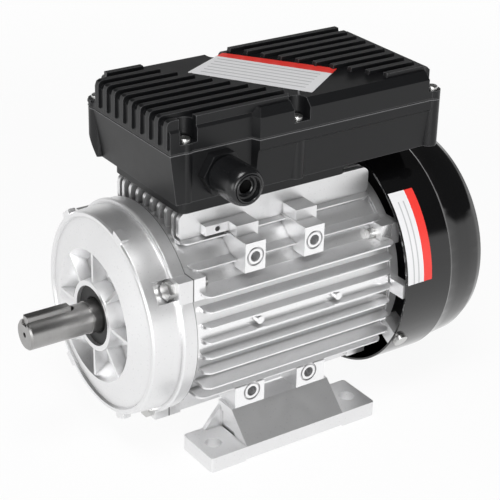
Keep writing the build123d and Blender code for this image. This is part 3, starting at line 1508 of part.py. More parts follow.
# Terminal board with studs and links
stud_places = [(board_x + x * stud_pitch, y * stud_pitch / 2) for x in (-1, 0, 1) for y in (-1, 1)]
board_top_z = board_z + board_thickness
with BuildPart() as terminal_board:
    with BuildSketch(Plane.XY.offset(board_z)):
        with Locations((board_x, 0)):
            Rectangle(board_length, board_width)
    extrude(amount=board_thickness)
    with BuildSketch(Plane.XY.offset(neck_floor_z)):
        with Locations(*[(board_x + x * board_leg_x, y * board_leg_y) for x in (-1, 1) for y in (-1, 1)]):
            Circle(board_leg_radius)
    extrude(amount=board_z - neck_floor_z)
    with BuildSketch(Plane.XY.offset(board_z)):
        with Locations(*stud_places):
            Circle(stud_radius + seat_gap)
    extrude(amount=board_thickness, mode=Mode.SUBTRACT)
save(terminal_board.part, "terminal_board")

with BuildPart() as terminal_studs:
    for level_z, height in ((board_z - stud_head_height, stud_head_height), (board_top_z, stud_nut_height)):
        with BuildSketch(Plane.XY.offset(level_z)):
            with Locations(*stud_places):
                RegularPolygon(stud_nut_flats / 2, 6, major_radius=False)
        extrude(amount=height)
    with BuildSketch(Plane.XY.offset(board_z)):
        with Locations(*stud_places):
            Circle(stud_radius)
    extrude(amount=board_thickness + stud_height)
save(terminal_studs.part, "terminal_studs")

with BuildPart() as terminal_links:
    with BuildSketch(Plane.XY.offset(board_top_z + stud_nut_height)):
        with Locations((board_x - stud_pitch / 2, -stud_pitch / 2), (board_x + stud_pitch / 2, stud_pitch / 2)):
            SlotCenterToCenter(stud_pitch, link_width)
        with Locations(*stud_places):
            Circle(stud_radius + seat_gap, mode=Mode.SUBTRACT)
    extrude(amount=link_thickness)
save(terminal_links.part, "terminal_links")


def capacitor(middle_y, radius, length):
    """Capacitor lying along X with two posts at its left end."""
    end_plane = Plane(origin=(capacitor_start_x, middle_y, capacitor_z), x_dir=(0, 1, 0), z_dir=(1, 0, 0))
    with BuildPart() as can:
        with BuildSketch(end_plane):
            Circle(radius)
        extrude(amount=length)
        chamfer(can.edges(), capacitor_edge)
        with BuildSketch(end_plane):
            with Locations((0, capacitor_post_rise), (0, -capacitor_post_rise)):
                Circle(capacitor_post_radius)
        extrude(amount=-capacitor_post_length)
    return can.part


save(capacitor(-capacitor_y, run_capacitor_radius, run_capacitor_length), "run_capacitor")
save(capacitor(capacitor_y, start_capacitor_radius, start_capacitor_length), "start_capacitor")

with BuildPart() as capacitor_clamps:
    for middle_y, radius in ((-capacitor_y, run_capacitor_radius), (capacitor_y, start_capacitor_radius)):
        clamp_plane = Plane(origin=(clamp_start_x, middle_y, capacitor_z), x_dir=(0, 1, 0), z_dir=(1, 0, 0))
        foot_height = capacitor_z - box_floor_z
        with BuildSketch(clamp_plane):
            Circle(radius + seat_gap + clamp_thickness)
            with Locations((0, -foot_height / 2)):
                Rectangle(clamp_foot_width, foot_height)
            Circle(radius + seat_gap, mode=Mode.SUBTRACT)
        extrude(amount=clamp_width)
save(capacitor_clamps.part, "capacitor_clamps")
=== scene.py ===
"""Looks of a foot-mounted single-phase electric motor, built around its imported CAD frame."""

import logging
import math
from collections.abc import Callable
from dataclasses import dataclass, replace
from enum import Enum

import bmesh
import bpy
from mathutils import Matrix, Vector


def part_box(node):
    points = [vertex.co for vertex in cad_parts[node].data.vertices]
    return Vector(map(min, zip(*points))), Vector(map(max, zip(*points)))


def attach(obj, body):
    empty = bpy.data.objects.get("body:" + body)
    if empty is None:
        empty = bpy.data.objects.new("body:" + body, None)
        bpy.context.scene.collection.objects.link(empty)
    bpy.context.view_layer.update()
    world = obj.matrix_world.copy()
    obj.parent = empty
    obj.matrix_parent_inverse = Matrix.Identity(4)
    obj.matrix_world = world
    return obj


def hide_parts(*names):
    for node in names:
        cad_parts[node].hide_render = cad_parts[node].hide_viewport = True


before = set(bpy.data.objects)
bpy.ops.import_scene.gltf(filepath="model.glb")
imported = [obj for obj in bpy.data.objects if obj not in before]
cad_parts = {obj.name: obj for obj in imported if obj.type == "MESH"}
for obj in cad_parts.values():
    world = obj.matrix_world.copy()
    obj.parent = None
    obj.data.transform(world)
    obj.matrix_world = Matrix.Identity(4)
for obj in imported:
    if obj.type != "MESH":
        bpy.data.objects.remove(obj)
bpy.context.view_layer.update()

LOG = logging.getLogger("motor")
MM = 0.001
SHAFT_HEIGHT = 0.080
AXIS_POINT = Vector((0.0, 0.0, SHAFT_HEIGHT))
CREASE = math.radians(32)
WELD_GAP = 0.01 * MM
SLIVER = 0.02 * MM

Colour = tuple[float, float, float]


class Axis(Enum):
    """Row axis that a pattern runs along."""

    X = 0
    Y = 1
    Z = 2


class Edge(Enum):
    """How strongly the edges of a piece are rounded, in metres."""

    CAST = 0.0005
    MOULDED = 0.0009
    MACHINED = 0.0002
    SHARP = 0.0


class Value:
    """A number that varies over a surface; its operators add Math nodes."""

    def __init__(self, graph: "Graph", socket: bpy.types.NodeSocket) -> None:
        """Wrap one output socket of a graph."""
        self.graph = graph
        self.socket = socket

    def _join(self, operation: str, first: object, second: object) -> "Value":
        """Add one Math node for two terms."""
        return self.graph.node("ShaderNodeMath", {"operation": operation}, {0: first, 1: second})

    def __add__(self, other: object) -> "Value":
        """Sum with a number or a value."""
        return self._join("ADD", self, other)

    def __sub__(self, other: object) -> "Value":
        """Difference with a number or a value."""
        return self._join("SUBTRACT", self, other)

    def __rsub__(self, other: object) -> "Value":
        """Difference from a number on the left."""
        return self._join("SUBTRACT", other, self)

    def __mul__(self, other: object) -> "Value":
        """Product with a number or a value."""
        return self._join("MULTIPLY", self, other)

    def __gt__(self, other: object) -> "Value":
        """One where the value is above the other, zero elsewhere."""
        return self._join("GREATER_THAN", self, other)

    def __lt__(self, other: object) -> "Value":
        """One where the value is below the other, zero elsewhere."""
        return self._join("LESS_THAN", self, other)

    def __pow__(self, other: object) -> "Value":
        """Power of the value."""
        return self._join("POWER", self, other)

    def __abs__(self) -> "Value":
        """Size of the value without its sign."""
        return self._join("ABSOLUTE", self, 0.0)

    def wave(self) -> "Value":
        """Sine of the value."""
        return self._join("SINE", self, 0.0)

    def band(self, low: float, high: float) -> "Value":
        """One between two limits, zero elsewhere."""
        return (self > low) * (self < high)

    def rise(self, low: float, high: float) -> "Value":
        """Smooth step from zero at low to one at high."""
        settings = {"interpolation_type": "SMOOTHSTEP"}
        return self.graph.node("ShaderNodeMapRange", settings, {0: self, 1: low, 2: high, 3: 0.0, 4: 1.0})


class Graph:
    """Node tree of a material or of the world, with one method that adds any node."""

    OPENNESS_SAMPLES = 8
    EDGE_RANGE = (0.45, 0.8)

    def __init__(self, owner: bpy.types.Material | bpy.types.World) -> None:
        """Start the tree of a material or world without nodes."""
        self.owner = owner
        owner.use_nodes = True
        self.tree = owner.node_tree
        self.tree.nodes.clear()
        self._places: dict[Axis, Value] = {}
        self._coordinates: Value | None = None

    def node(
        self,
        kind: str,
        settings: dict[str, object] | None = None,
        values: dict[int | str, object] | None = None,
        output: int | str = 0,
    ) -> Value:
        """Add a node, set it up and link it.

        Args:
            kind: Blender's type of node.
            settings: The node's own properties; stops are those of a colour ramp.
            values: Numbers, colours or values for its sockets.
            output: Socket that is handed back.

        Returns:
            The wanted output.
        """
        made = self.tree.nodes.new(kind)
        for key, setting in (settings or {}).items():
            if key == "stops":
                ramp = made.color_ramp
                while len(ramp.elements) < len(setting):
                    ramp.elements.new(0.5)
                for element, (place, colour) in zip(ramp.elements, setting):
                    element.position = place
                    element.color = (*colour, 1.0)
            else:
                setattr(made, key, setting)
        for key, value in (values or {}).items():
            socket = made.inputs[key]
            if isinstance(value, Value):
                self.tree.links.new(value.socket, socket)
            elif isinstance(value, tuple) and socket.type == "RGBA":
                socket.default_value = (*value, 1.0)
            else:
                socket.default_value = value
        return Value(self, made.outputs[output] if len(made.outputs) else None)

    def coordinates(self) -> Value:
        """Position in the row frame, in metres."""
        if self._coordinates is None:
            self._coordinates = self.node("ShaderNodeTexCoord", output="Object")
        return self._coordinates

    def place(self, axis: Axis) -> Value:
        """One coordinate of the position, in metres."""
        if axis not in self._places:
            split = self.node("ShaderNodeSeparateXYZ", values={0: self.coordinates()}, output=axis.value)
            self._places[axis] = split
        return self._places[axis]

    def radius(self) -> Value:
        """Distance from the motor axis, in metres."""
        across = self.place(Axis.Y)
        up = self.place(Axis.Z) - SHAFT_HEIGHT
        return (across * across + up * up) ** 0.5

    def noise(self, size: float, detail: float = 2.0, roughness: float = 0.5) -> Value:
        """Soft noise from 0 to 1, with patches of a size in metres and finer layers."""
        values = {"Vector": self.coordinates(), "Scale": 1 / size, "Detail": detail, "Roughness": roughness}
        return self.node("ShaderNodeTexNoise", {"noise_dimensions": "3D"}, values)

    def cells(self, size: float) -> Value:
        """Distance to the nearest of points scattered at a size in metres, as a share of it."""
        values = {"Vector": self.coordinates(), "Scale": 1 / size}
        return self.node("ShaderNodeTexVoronoi", {"feature": "F1"}, values)

    def openness(self, reach: float, inside: bool = False) -> Value:
        """Freedom from other surface within a reach in metres; inside looks into the piece."""
        settings = {"samples": self.OPENNESS_SAMPLES, "inside": inside, "only_local": True}
        return self.node("ShaderNodeAmbientOcclusion", settings, {"Distance": reach}, output="AO")

    def edges(self, reach: float) -> Value:
        """Mask of the edges of the piece, to a reach in metres."""
        return 1 - self.openness(reach, inside=True).rise(*self.EDGE_RANGE)

    def stretched_noise(self, size: float, squeeze: tuple[float, float, float]) -> Value:
        """Noise of a size in metres, drawn out by a factor on each coordinate as turning leaves it."""
        values = {0: self.coordinates(), 1: squeeze}
        moved = self.node("ShaderNodeVectorMath", {"operation": "MULTIPLY"}, values)
        return self.node("ShaderNodeTexNoise", {}, {"Vector": moved, "Scale": 1 / size, "Detail": 2.0})

    def blend(self, factor: object, first: object, second: object) -> Value:
        """Mix two colours; the factor is the share of the second."""
        return self.node("ShaderNodeMix", {"data_type": "RGBA"}, {0: factor, 6: first, 7: second}, output=2)

    def facing(self, axis: Axis) -> Value:
        """How squarely the surface faces along an axis, from 0 to 1."""
        normal = self.node("ShaderNodeNewGeometry", output="Normal")
        return abs(self.node("ShaderNodeSeparateXYZ", values={0: normal}, output=axis.value))

    def close(self, surface: Value) -> bpy.types.Material | bpy.types.World:
        """Link the finished surface to the output and hand back the material or world."""
        is_world = isinstance(self.owner, bpy.types.World)
        kind = "ShaderNodeOutputWorld" if is_world else "ShaderNodeOutputMaterial"
        self.node(kind, values={"Surface": surface})
        return self.owner


@dataclass(frozen=True)
class Finish:
    """A finish with its colour, its sheen and the grain of its skin."""

    name: str
    slot: str
    colour: Colour
    roughness: float
    metallic: float = 0.0
    mottle: float = 0.08
    mottle_size: float = 0.020
    grain_size: float = 0.0006
    grain_depth: float = 0.00002
    roughness_spread: float = 0.08
    coat: float = 0.0
    specular: float = 0.5
    edge: Edge = Edge.SHARP

    def darker(self, share: float) -> Colour:
        """The colour at a share of its brightness."""
        return tuple(channel * share for channel in self.colour)

    def colour_over(self, graph: Graph) -> Value:
        """Colour with soft patches and fine specks."""
        light = tuple(min(1.0, channel * (1 + self.mottle)) for channel in self.colour)
        patches = graph.noise(self.mottle_size, 3.0)
        specks = graph.noise(self.grain_size * 2, 1.0)
        return graph.blend(patches * 0.6 + specks * 0.4, self.darker(1 - self.mottle), light)

    def roughness_over(self, graph: Graph) -> Value:
        """Roughness with soft patches."""
        return graph.noise(self.mottle_size * 0.4, 2.0) * self.roughness_spread + (
            self.roughness - self.roughness_spread / 2
        )

    def height_over(self, graph: Graph) -> Value:
        """Height of the grain, from 0 to 1."""
        return graph.noise(self.grain_size, 2.0, 0.6)

    def material(self) -> bpy.types.Material:
        """Build the material once and use it again after that."""
        known = bpy.data.materials.get(self.name)
        if known is not None:
            return known
        graph = Graph(bpy.data.materials.new(self.name))
        values = {"Height": self.height_over(graph), "Distance": self.grain_depth, "Strength": 1.0}
        normal = graph.node("ShaderNodeBump", {}, values)
        surface = graph.node(
            "ShaderNodeBsdfPrincipled",
            {},
            {
                "Base Color": self.colour_over(graph),
                "Roughness": self.roughness_over(graph),
                "Metallic": self.metallic,
                "Specular IOR Level": self.specular,
                "Coat Weight": self.coat,
                "Coat Roughness": 0.08,
                "Normal": normal,
            },
        )
        return graph.close(surface)


@dataclass(frozen=True)
class CastAluminium(Finish):
    """Blasted die-cast aluminium, bright where a cutter has faced it."""

    faced_axis: Axis | None = None
    faced_above: float = 0.0
    faced_squarely: float = 0.95
    faced_smoother: float = 0.18
    faced_and_highlight_colour: Colour = (0.93, 0.93, 0.935)
    pore_pitch: float = 5.0
    pore_share: float = 0.25
    pore_dark: float = 0.55
    # Painted shade: the colour is darkened in corners and crevices, by how open the surface is.
    corner_reach: float = 0.0035
    corner_shade_share: float = 0.6
    corner_shade_tone: float = 0.3
    # Painted highlight: edges are lightened towards the bright colour of the faced bosses.
    edge_reach: float = 0.0007
    edge_highlight_share: float = 0.5
    joint_x: float = -0.063
    joint_gap: float = 0.0004
    joint_share: float = 0.85
    joint_dark: float = 0.06

    def faced(self, graph: Graph) -> Value | None:
        """Mask of the faces that a cutter has passed over."""
        if self.faced_axis is None:
            return None
        beyond = abs(graph.place(self.faced_axis)) > self.faced_above
        return beyond * (graph.facing(self.faced_axis) > self.faced_squarely)

    def colour_over(self, graph: Graph) -> Value:
        """Cast colour with dark pores and joint, painted shade in corners, painted highlights on edges and
        bright cut faces.
        """
        base = super().colour_over(graph)
        pores = 1 - graph.cells(self.grain_size * self.pore_pitch).rise(0.06, 0.22)
        pored = graph.blend(pores * self.pore_share, base, self.darker(self.pore_dark))
        faced = self.faced(graph)
        cut = pored if faced is None else graph.blend(faced, pored, self.faced_and_highlight_colour)
        # Painted shade: darker where other surface is near, in corners and between fins.
        corners = 1 - graph.openness(self.corner_reach).rise(0.25, 0.85)
        corner_shaded = graph.blend(corners * self.corner_shade_share, cut, self.darker(self.corner_shade_tone))
        # Painted highlight: edges are blended towards the bright faced colour.
        highlighted = graph.blend(graph.edges(self.edge_reach) * self.edge_highlight_share, corner_shaded, self.faced_and_highlight_colour)
        joint = graph.place(Axis.X).band(self.joint_x - self.joint_gap, self.joint_x + self.joint_gap)
        return graph.blend(joint * self.joint_share, highlighted, self.darker(self.joint_dark))

    def roughness_over(self, graph: Graph) -> Value:
        """Rougher skin, smoother where it is cut."""
        base = super().roughness_over(graph)
        faced = self.faced(graph)
        return base if faced is None else base - faced * self.faced_smoother

    def height_over(self, graph: Graph) -> Value:
        """Blasted grain with shallow pores."""
        pores = graph.cells(self.grain_size * self.pore_pitch).rise(0.0, 0.3)
        return graph.noise(self.grain_size, 2.0, 0.7) * 0.7 + pores * 0.3


@dataclass(frozen=True)
class TurnedSteel(Finish):
    """Steel turned on a lathe, with fine rings round the motor axis."""

    ring_pitch: float = 0.00025
    ring_squeeze: tuple[float, float, float] = (1.0, 0.02, 0.02)
    stain_size: float = 0.009
    stain_dark: float = 0.72

    def colour_over(self, graph: Graph) -> Value:
        """Steel with faint rings and oil stains."""
        stains = graph.noise(self.stain_size, 3.0).rise(0.45, 0.75)
        share = self.height_over(graph) * 0.5 + stains * 0.3
        return graph.blend(share, self.colour, self.darker(self.stain_dark))

    def height_over(self, graph: Graph) -> Value:
        """Rings of the lathe tool."""
        return graph.stretched_noise(self.ring_pitch, self.ring_squeeze)


@dataclass(frozen=True)
class MouldedPlastic(Finish):
    """Black moulded plastic with a fine spark-eroded skin."""

    dust: float = 0.12
    dust_size: float = 0.0012
    dust_colour: Colour = (0.12, 0.12, 0.12)
    # Painted highlight: edges are lightened towards a grey.
    edge_reach: float = 0.0007
    edge_highlight_share: float = 0.0
    # Painted highlight: a pale line along the top edge of the base.
    line_z: float = 0.1911
    line_half: float = 0.00025
    line_share: float = 0.7
    painted_highlight_colour: Colour = (0.16, 0.16, 0.165)

    def colour_over(self, graph: Graph) -> Value:
        """Plastic with a trace of pale dust, painted highlights on its edges and a pale painted highlight
        line at the top of the base.
        """
        base = super().colour_over(graph)
        dust = graph.noise(self.dust_size, 4.0, 0.7).rise(0.62, 0.8) * self.dust
        dusty = graph.blend(dust, base, self.dust_colour)
        if not self.edge_highlight_share:
            return dusty
        # Painted highlight on the edges.
        highlighted = graph.blend(graph.edges(self.edge_reach) * self.edge_highlight_share, dusty, self.painted_highlight_colour)
        # Painted highlight: a pale line along the top of the base.
        line = graph.place(Axis.Z).band(self.line_z - self.line_half, self.line_z + self.line_half)
        return graph.blend(line * self.line_share, highlighted, self.painted_highlight_colour)


@dataclass(frozen=True)
class GlossPaint(Finish):
    """Black gloss paint with a slight orange peel."""

    peel_size: float = 0.0035

    def height_over(self, graph: Graph) -> Value:
        """Waves of the paint film."""
        return graph.noise(self.peel_size, 1.0, 0.3)


@dataclass(frozen=True)
class StackedSheet(Finish):
    """Edges of the thin sheets of a core, stacked along the motor axis."""

    sheet: float = 0.0005
    sheet_squeeze: tuple[float, float, float] = (1.0, 0.01, 0.01)
    sheet_light: float = 1.7

    def height_over(self, graph: Graph) -> Value:
        """One ridge for each sheet."""
        return (graph.place(Axis.X) * (2 * math.pi / self.sheet)).wave() * 0.5 + 0.5

    def colour_over(self, graph: Graph) -> Value:
        """Blued sheets, each a little lighter or darker."""
        lines = graph.stretched_noise(self.sheet, self.sheet_squeeze)
        return graph.blend(lines, self.colour, self.darker(self.sheet_light))


@dataclass(frozen=True)
class Winding(Finish):
    """Lacquered copper wires that run round the winding head."""

    wire: float = 0.0009
    lay: float = 900.0
    ripple_size: float = 0.004
    ripple_depth: float = 3.0
    gap_colour: Colour = (0.10, 0.03, 0.012)

    def height_over(self, graph: Graph) -> Value:
        """Round backs of the wires."""
        ripple = graph.noise(self.ripple_size, 2.0) * self.ripple_depth
        across = graph.radius() * (math.pi / self.wire)
        return abs((across + graph.place(Axis.X) * self.lay + ripple).wave())

    def colour_over(self, graph: Graph) -> Value:
        """Copper through amber lacquer, darker between the wires."""
        return graph.blend(self.height_over(graph), self.gap_colour, self.colour)


@dataclass(frozen=True)
class Sticker(Finish):
    """White label with a red band and grey ruled lines."""

    mottle: float = 0.03
    grain_depth: float = 0.000003
    origin: tuple[float, float, float] = (0.0, 0.0, 0.0)
    across: tuple[float, float, float] = (1.0, 0.0, 0.0)
    width: float = 0.05
    along: tuple[float, float, float] = (0.0, 0.0, 1.0)
    length: float = 0.05
    band_low: float = 0.7
    rows: int = 9
    line_cut: float = 0.72
    line_share: float = 0.75
    field_start: float = 0.1
    field_gap: float = 0.06
    margin: float = 0.08
    red: Colour = (0.78, 0.045, 0.035)
    rule: Colour = (0.36, 0.36, 0.37)

    def share(self, graph: Graph, direction: tuple[float, float, float], length: float) -> Value:
        """Place along a direction of the label.

        Args:
            graph: Node tree of the material.
            direction: The direction, of length 1.
            length: Length of the label along it, in metres.

        Returns:
            The place, from 0 to 1.
        """
        values = {0: graph.coordinates(), 1: self.origin}
        offset = graph.node("ShaderNodeVectorMath", {"operation": "SUBTRACT"}, values)
        values = {0: offset, 1: direction}
        reached = graph.node("ShaderNodeVectorMath", {"operation": "DOT_PRODUCT"}, values, output="Value")
        return reached * (1 / length)

    def colour_over(self, graph: Graph) -> Value:
        """White sheet with ruled lines beside the red band."""
        base = super().colour_over(graph)
        across = self.share(graph, self.across, self.width)
        along = self.share(graph, self.along, self.length)
        lines = (across * (2 * math.pi * self.rows)).wave() > self.line_cut
        beside_band = across.band(self.field_start, self.band_low - self.field_gap)
        field = beside_band * along.band(self.margin, 1 - self.margin)
        ruled = graph.blend(lines * field * self.line_share, base, self.rule)
        return graph.blend(across > self.band_low, ruled, self.red)


LABEL_ROUGHNESS = 0.35
CAST = CastAluminium(
    "cast_aluminium_skin", "cast_aluminium", (0.80, 0.80, 0.805), 0.36, metallic=0.85, mottle=0.05,
    grain_size=0.0005, grain_depth=0.00004, edge=Edge.CAST,
)
FACED_CAST = replace(
    CAST, name="cast_aluminium_with_faced_bosses", edge=Edge.SHARP, faced_axis=Axis.Y, faced_above=0.0598
)
STEEL = TurnedSteel("turned_steel_skin", "turned_steel", (0.40, 0.395, 0.39), 0.3, metallic=1.0,
                    grain_depth=0.000008, edge=Edge.MACHINED)
GROUND_STEEL = Finish("ground_steel_skin", "turned_steel", (0.60, 0.60, 0.60), 0.16, metallic=1.0,
                      grain_depth=0.000002)
ZINC = Finish("zinc_plated_skin", "zinc_steel", (0.58, 0.58, 0.57), 0.32, metallic=1.0, mottle=0.12,
              grain_depth=0.000008)
PRESSED_STEEL = Finish("pressed_steel_skin", "cage_steel", (0.52, 0.52, 0.50), 0.35, metallic=1.0,
                       grain_depth=0.000005)
CORE = StackedSheet("stacked_core_skin", "core_steel", (0.10, 0.11, 0.13), 0.5, metallic=0.8,
                    grain_depth=0.00005)
COPPER = Winding("lacquered_wire_skin", "winding", (0.52, 0.20, 0.07), 0.3, metallic=0.7, grain_depth=0.0003)
DIE_CAST = Finish("rotor_cage_skin", "rotor_aluminium", (0.60, 0.60, 0.61), 0.42, metallic=0.8,
                  grain_depth=0.00003)
BOX_PLASTIC = MouldedPlastic("box_plastic_skin", "box_plastic", (0.006, 0.0062, 0.0068), 0.36,
                             grain_size=0.0005, grain_depth=0.00002, specular=0.3, edge=Edge.MOULDED,
                             edge_highlight_share=0.5)
GLAND_PLASTIC = MouldedPlastic("gland_plastic_skin", "gland_plastic", (0.005, 0.0052, 0.0058), 0.32,
                               grain_size=0.0004, grain_depth=0.00001, specular=0.35, edge=Edge.MACHINED)
NUT_PLASTIC = MouldedPlastic("gland_nut_skin", "gland_plastic", (0.006, 0.0062, 0.0068), 0.24,
                             grain_size=0.0004, grain_depth=0.00001, specular=0.5)
FAN_PLASTIC = MouldedPlastic("fan_plastic_skin", "fan_plastic", (0.02, 0.02, 0.022), 0.45,
                             grain_depth=0.00002)
COWL_PAINT = GlossPaint("cowl_gloss_skin", "cowl_paint", (0.003, 0.003, 0.0033), 0.12, mottle=0.1, coat=0.5,
                        specular=0.4, grain_depth=0.00001, roughness_spread=0.04)
RUBBER = Finish("seal_rubber_skin", "seal_rubber", (0.018, 0.018, 0.018), 0.6, grain_depth=0.00001)
NYLON = Finish("collar_nylon_skin", "collar_plastic", (0.70, 0.68, 0.60), 0.45, grain_depth=0.00001)
BOARD = MouldedPlastic("pressed_board_skin", "board_plastic", (0.14, 0.05, 0.025), 0.5, grain_depth=0.00002)
BRASS = Finish("contact_brass_skin", "contact_brass", (0.70, 0.48, 0.18), 0.28, metallic=1.0,
               grain_depth=0.000004)
CAN_METAL = Finish("drawn_can_skin", "can_aluminium", (0.70, 0.70, 0.71), 0.3, metallic=1.0,
                   grain_depth=0.000004)
CAN_PLASTIC = GlossPaint("start_can_skin", "can_plastic", (0.015, 0.015, 0.016), 0.22)


def drop_stored_normals(piece: bpy.types.Object) -> None:
    """Remove the normals that came with a piece's mesh."""
    stored = piece.data.attributes.get("custom_normal")
    if stored is not None:
        piece.data.attributes.remove(stored)


def soften(node: bpy.types.Object, edge: Edge, smooth: bool = True) -> None:
    """Round the edges of a piece and shade its curved faces smoothly.

    Args:
        node: The piece.
        edge: How strongly the edges are rounded.
        smooth: Whether curved faces are shaded as one.
    """
    drop_stored_normals(node)
    for polygon in node.data.polygons:
        polygon.use_smooth = smooth
    weld = node.modifiers.new("weld", "WELD")
    weld.merge_threshold = WELD_GAP
    if edge is not Edge.SHARP:
        bevel = node.modifiers.new("rounded_edges", "BEVEL")
        bevel.width = edge.value
        bevel.segments = 2
        bevel.limit_method = "ANGLE"
        bevel.angle_limit = CREASE
        bevel.use_clamp_overlap = True
    else:
        split = node.modifiers.new("crisp_edges", "EDGE_SPLIT")
        split.split_angle = CREASE
    if smooth:
        normals = node.modifiers.new("face_normals", "WEIGHTED_NORMAL")
        normals.keep_sharp = True


@dataclass
class SubAssembly:
    """Group of CAD nodes that share a place in the motor."""

    title: str
    nodes: dict[str, Finish]

    def dress(self) -> None:
        """Give each node its finish and report it."""
        for name, finish in self.nodes.items():
            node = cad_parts[name]
            node.data.materials.clear()
            node.data.materials.append(finish.material())
            soften(node, finish.edge)
            LOG.info("%s: %s dressed as %s", self.title, name, finish.name)


@dataclass
class HousingCasting:
    """Frame casting with its fins drawn thinner to their tips, as they leave the mould."""

    fins: tuple[tuple[float, float], ...] = (
        (-40.0, 59.0), (-30.0, 66.0), (-20.0, 66.0), (-10.0, 66.0), (0.0, 66.0), (10.0, 66.0), (20.0, 66.0),
        (30.0, 66.0), (41.0, 52.0), (52.5, 40.0),
    )
    fin_thickness: float = 2.8
    tip_thickness: float = 0.9
    flank_spare: float = 0.02
    tip_spare: float = 0.1
    barrel_radius: float = 60.8
    barrel_inside: float = 57.0
    barrel_start: float = -62.0
    barrel_end: float = 79.2
    barrel_steps: int = 320
    pad_places: tuple[float, ...] = (-20.0, 37.0)
    pad_length: float = 6.4
    pad_low: float = 0.9
    pad_high: float = 9.1
    pad_reach: float = 67.0
    pin_radius: float = 2.4
    pin_rise: float = 5.6
    pin_tip: float = 65.6
    pin_steps: int = 32

    def thinned(self, point: Vector) -> Vector:
        """Move a point of a fin's flank towards the middle of the fin.

        Args:
            point: The point, in metres.

        Returns:
            Its new place.
        """
        reach_here = abs(point.y) / MM
        rise_here = (point.z - SHAFT_HEIGHT) / MM
        for rise, reach in self.fins:
            root = math.sqrt(self.barrel_radius**2 - rise**2)
            off_middle = rise_here - rise
            on_fin = abs(off_middle) <= self.fin_thickness / 2 + self.flank_spare
            if not on_fin or not root < reach_here < reach + self.tip_spare:
                continue
            share = (reach_here - root) / (reach - root)
            kept = 1 - (1 - self.tip_thickness / self.fin_thickness) * share
            return Vector((point.x, point.y, SHAFT_HEIGHT + (rise + off_middle * kept) * MM))
        return point

    def barrel(self) -> bpy.types.Object:
        """Make the outer skin of the barrel, which the fins grow out of."""
        outline = [
            (self.barrel_start, self.barrel_inside), (self.barrel_start, self.barrel_radius),
            (self.barrel_end, self.barrel_radius), (self.barrel_end, self.barrel_inside),
        ]
        points = []
        for turn in turns(self.barrel_steps):
            points.extend(
                Vector((x, radius * math.cos(turn), radius * math.sin(turn))) * MM + AXIS_POINT
                for x, radius in outline
            )
        faces = swept_faces(len(outline), self.barrel_steps, self.barrel_steps)
        return mesh_object("barrel_skin", points, faces)

    def pads(
        self, name: str, outline: list[tuple[float, float]], near: float, far: float
    ) -> bpy.types.Object:
        """Make one block at each pad on both sides of the casting.

        Args:
            name: Name of the object.
            outline: The block's outline, along the motor and up from its axis, in millimetres.
            near: Distance of its inner face from the motor's middle plane, in millimetres.
            far: Distance of its outer face.

        Returns:
            All blocks in one object.
        """
        points, faces = [], []
        for x in self.pad_places:
            for side in (-1, 1):
                faces.extend(prism_faces(len(points), len(outline)))
                for reach in (near, far):
                    points.extend(
                        Vector((x + along, side * reach, rise)) * MM + AXIS_POINT for along, rise in outline
                    )
        return mesh_object(name, points, faces)

    def pins(self) -> bpy.types.Object:
        """Make the round pads, on which the casting is pushed out of its mould."""
        outline = [
            (self.pin_radius * math.cos(turn), self.pin_rise + self.pin_radius * math.sin(turn))
            for turn in turns(self.pin_steps)
        ]
        return self.pads("mould_pads", outline, self.barrel_inside, self.pin_tip)

    def pad_cutter(self) -> bpy.types.Object:
        """Make the blocks that clear the space between two fins for the round pads."""
        half = self.pad_length / 2
        outline = [(-half, self.pad_low), (half, self.pad_low), (half, self.pad_high), (-half, self.pad_high)]
        return self.pads("pad_cutter", outline, self.barrel_radius - 1, self.pad_reach)

    def build(self) -> None:
        """Make the casting from the CAD node and put it in the node's place."""
        casting = copy_of_node("frame_housing", "housing_casting", self.thinned)
        combine(casting, self.pad_cutter(), "DIFFERENCE")
        combine(casting, self.barrel(), "UNION")
        combine(casting, self.pins(), "UNION")
        clean_faces(casting)
        put_in_place(casting, FACED_CAST, "frame_housing", smooth=False)
        LOG.info("frame: %s with %d fins on each side", casting.name, len(self.fins))


@dataclass
class Moulding:
    """Copy of a moulded CAD node with a block cut off its far left corner."""

    node: str
    title: str
    finish: Finish
    low: float
    low_outline: tuple[tuple[float, float], ...]
    high: float
    high_outline: tuple[tuple[float, float], ...]

    def build(self) -> None:
        """Cut the copy and put it in the node's place."""
        moulding = copy_of_node(self.node, self.title)
        points = [Vector((x, y, self.low)) * MM for x, y in self.low_outline]
        points += [Vector((x, y, self.high)) * MM for x, y in self.high_outline]
        block = mesh_object(self.title + "_block", points, prism_faces(0, len(self.low_outline)))
        combine(moulding, block, "DIFFERENCE")
        clean_faces(moulding)
        put_in_place(moulding, self.finish, self.node)
        LOG.info("box: %s cut at its corner", moulding.name)


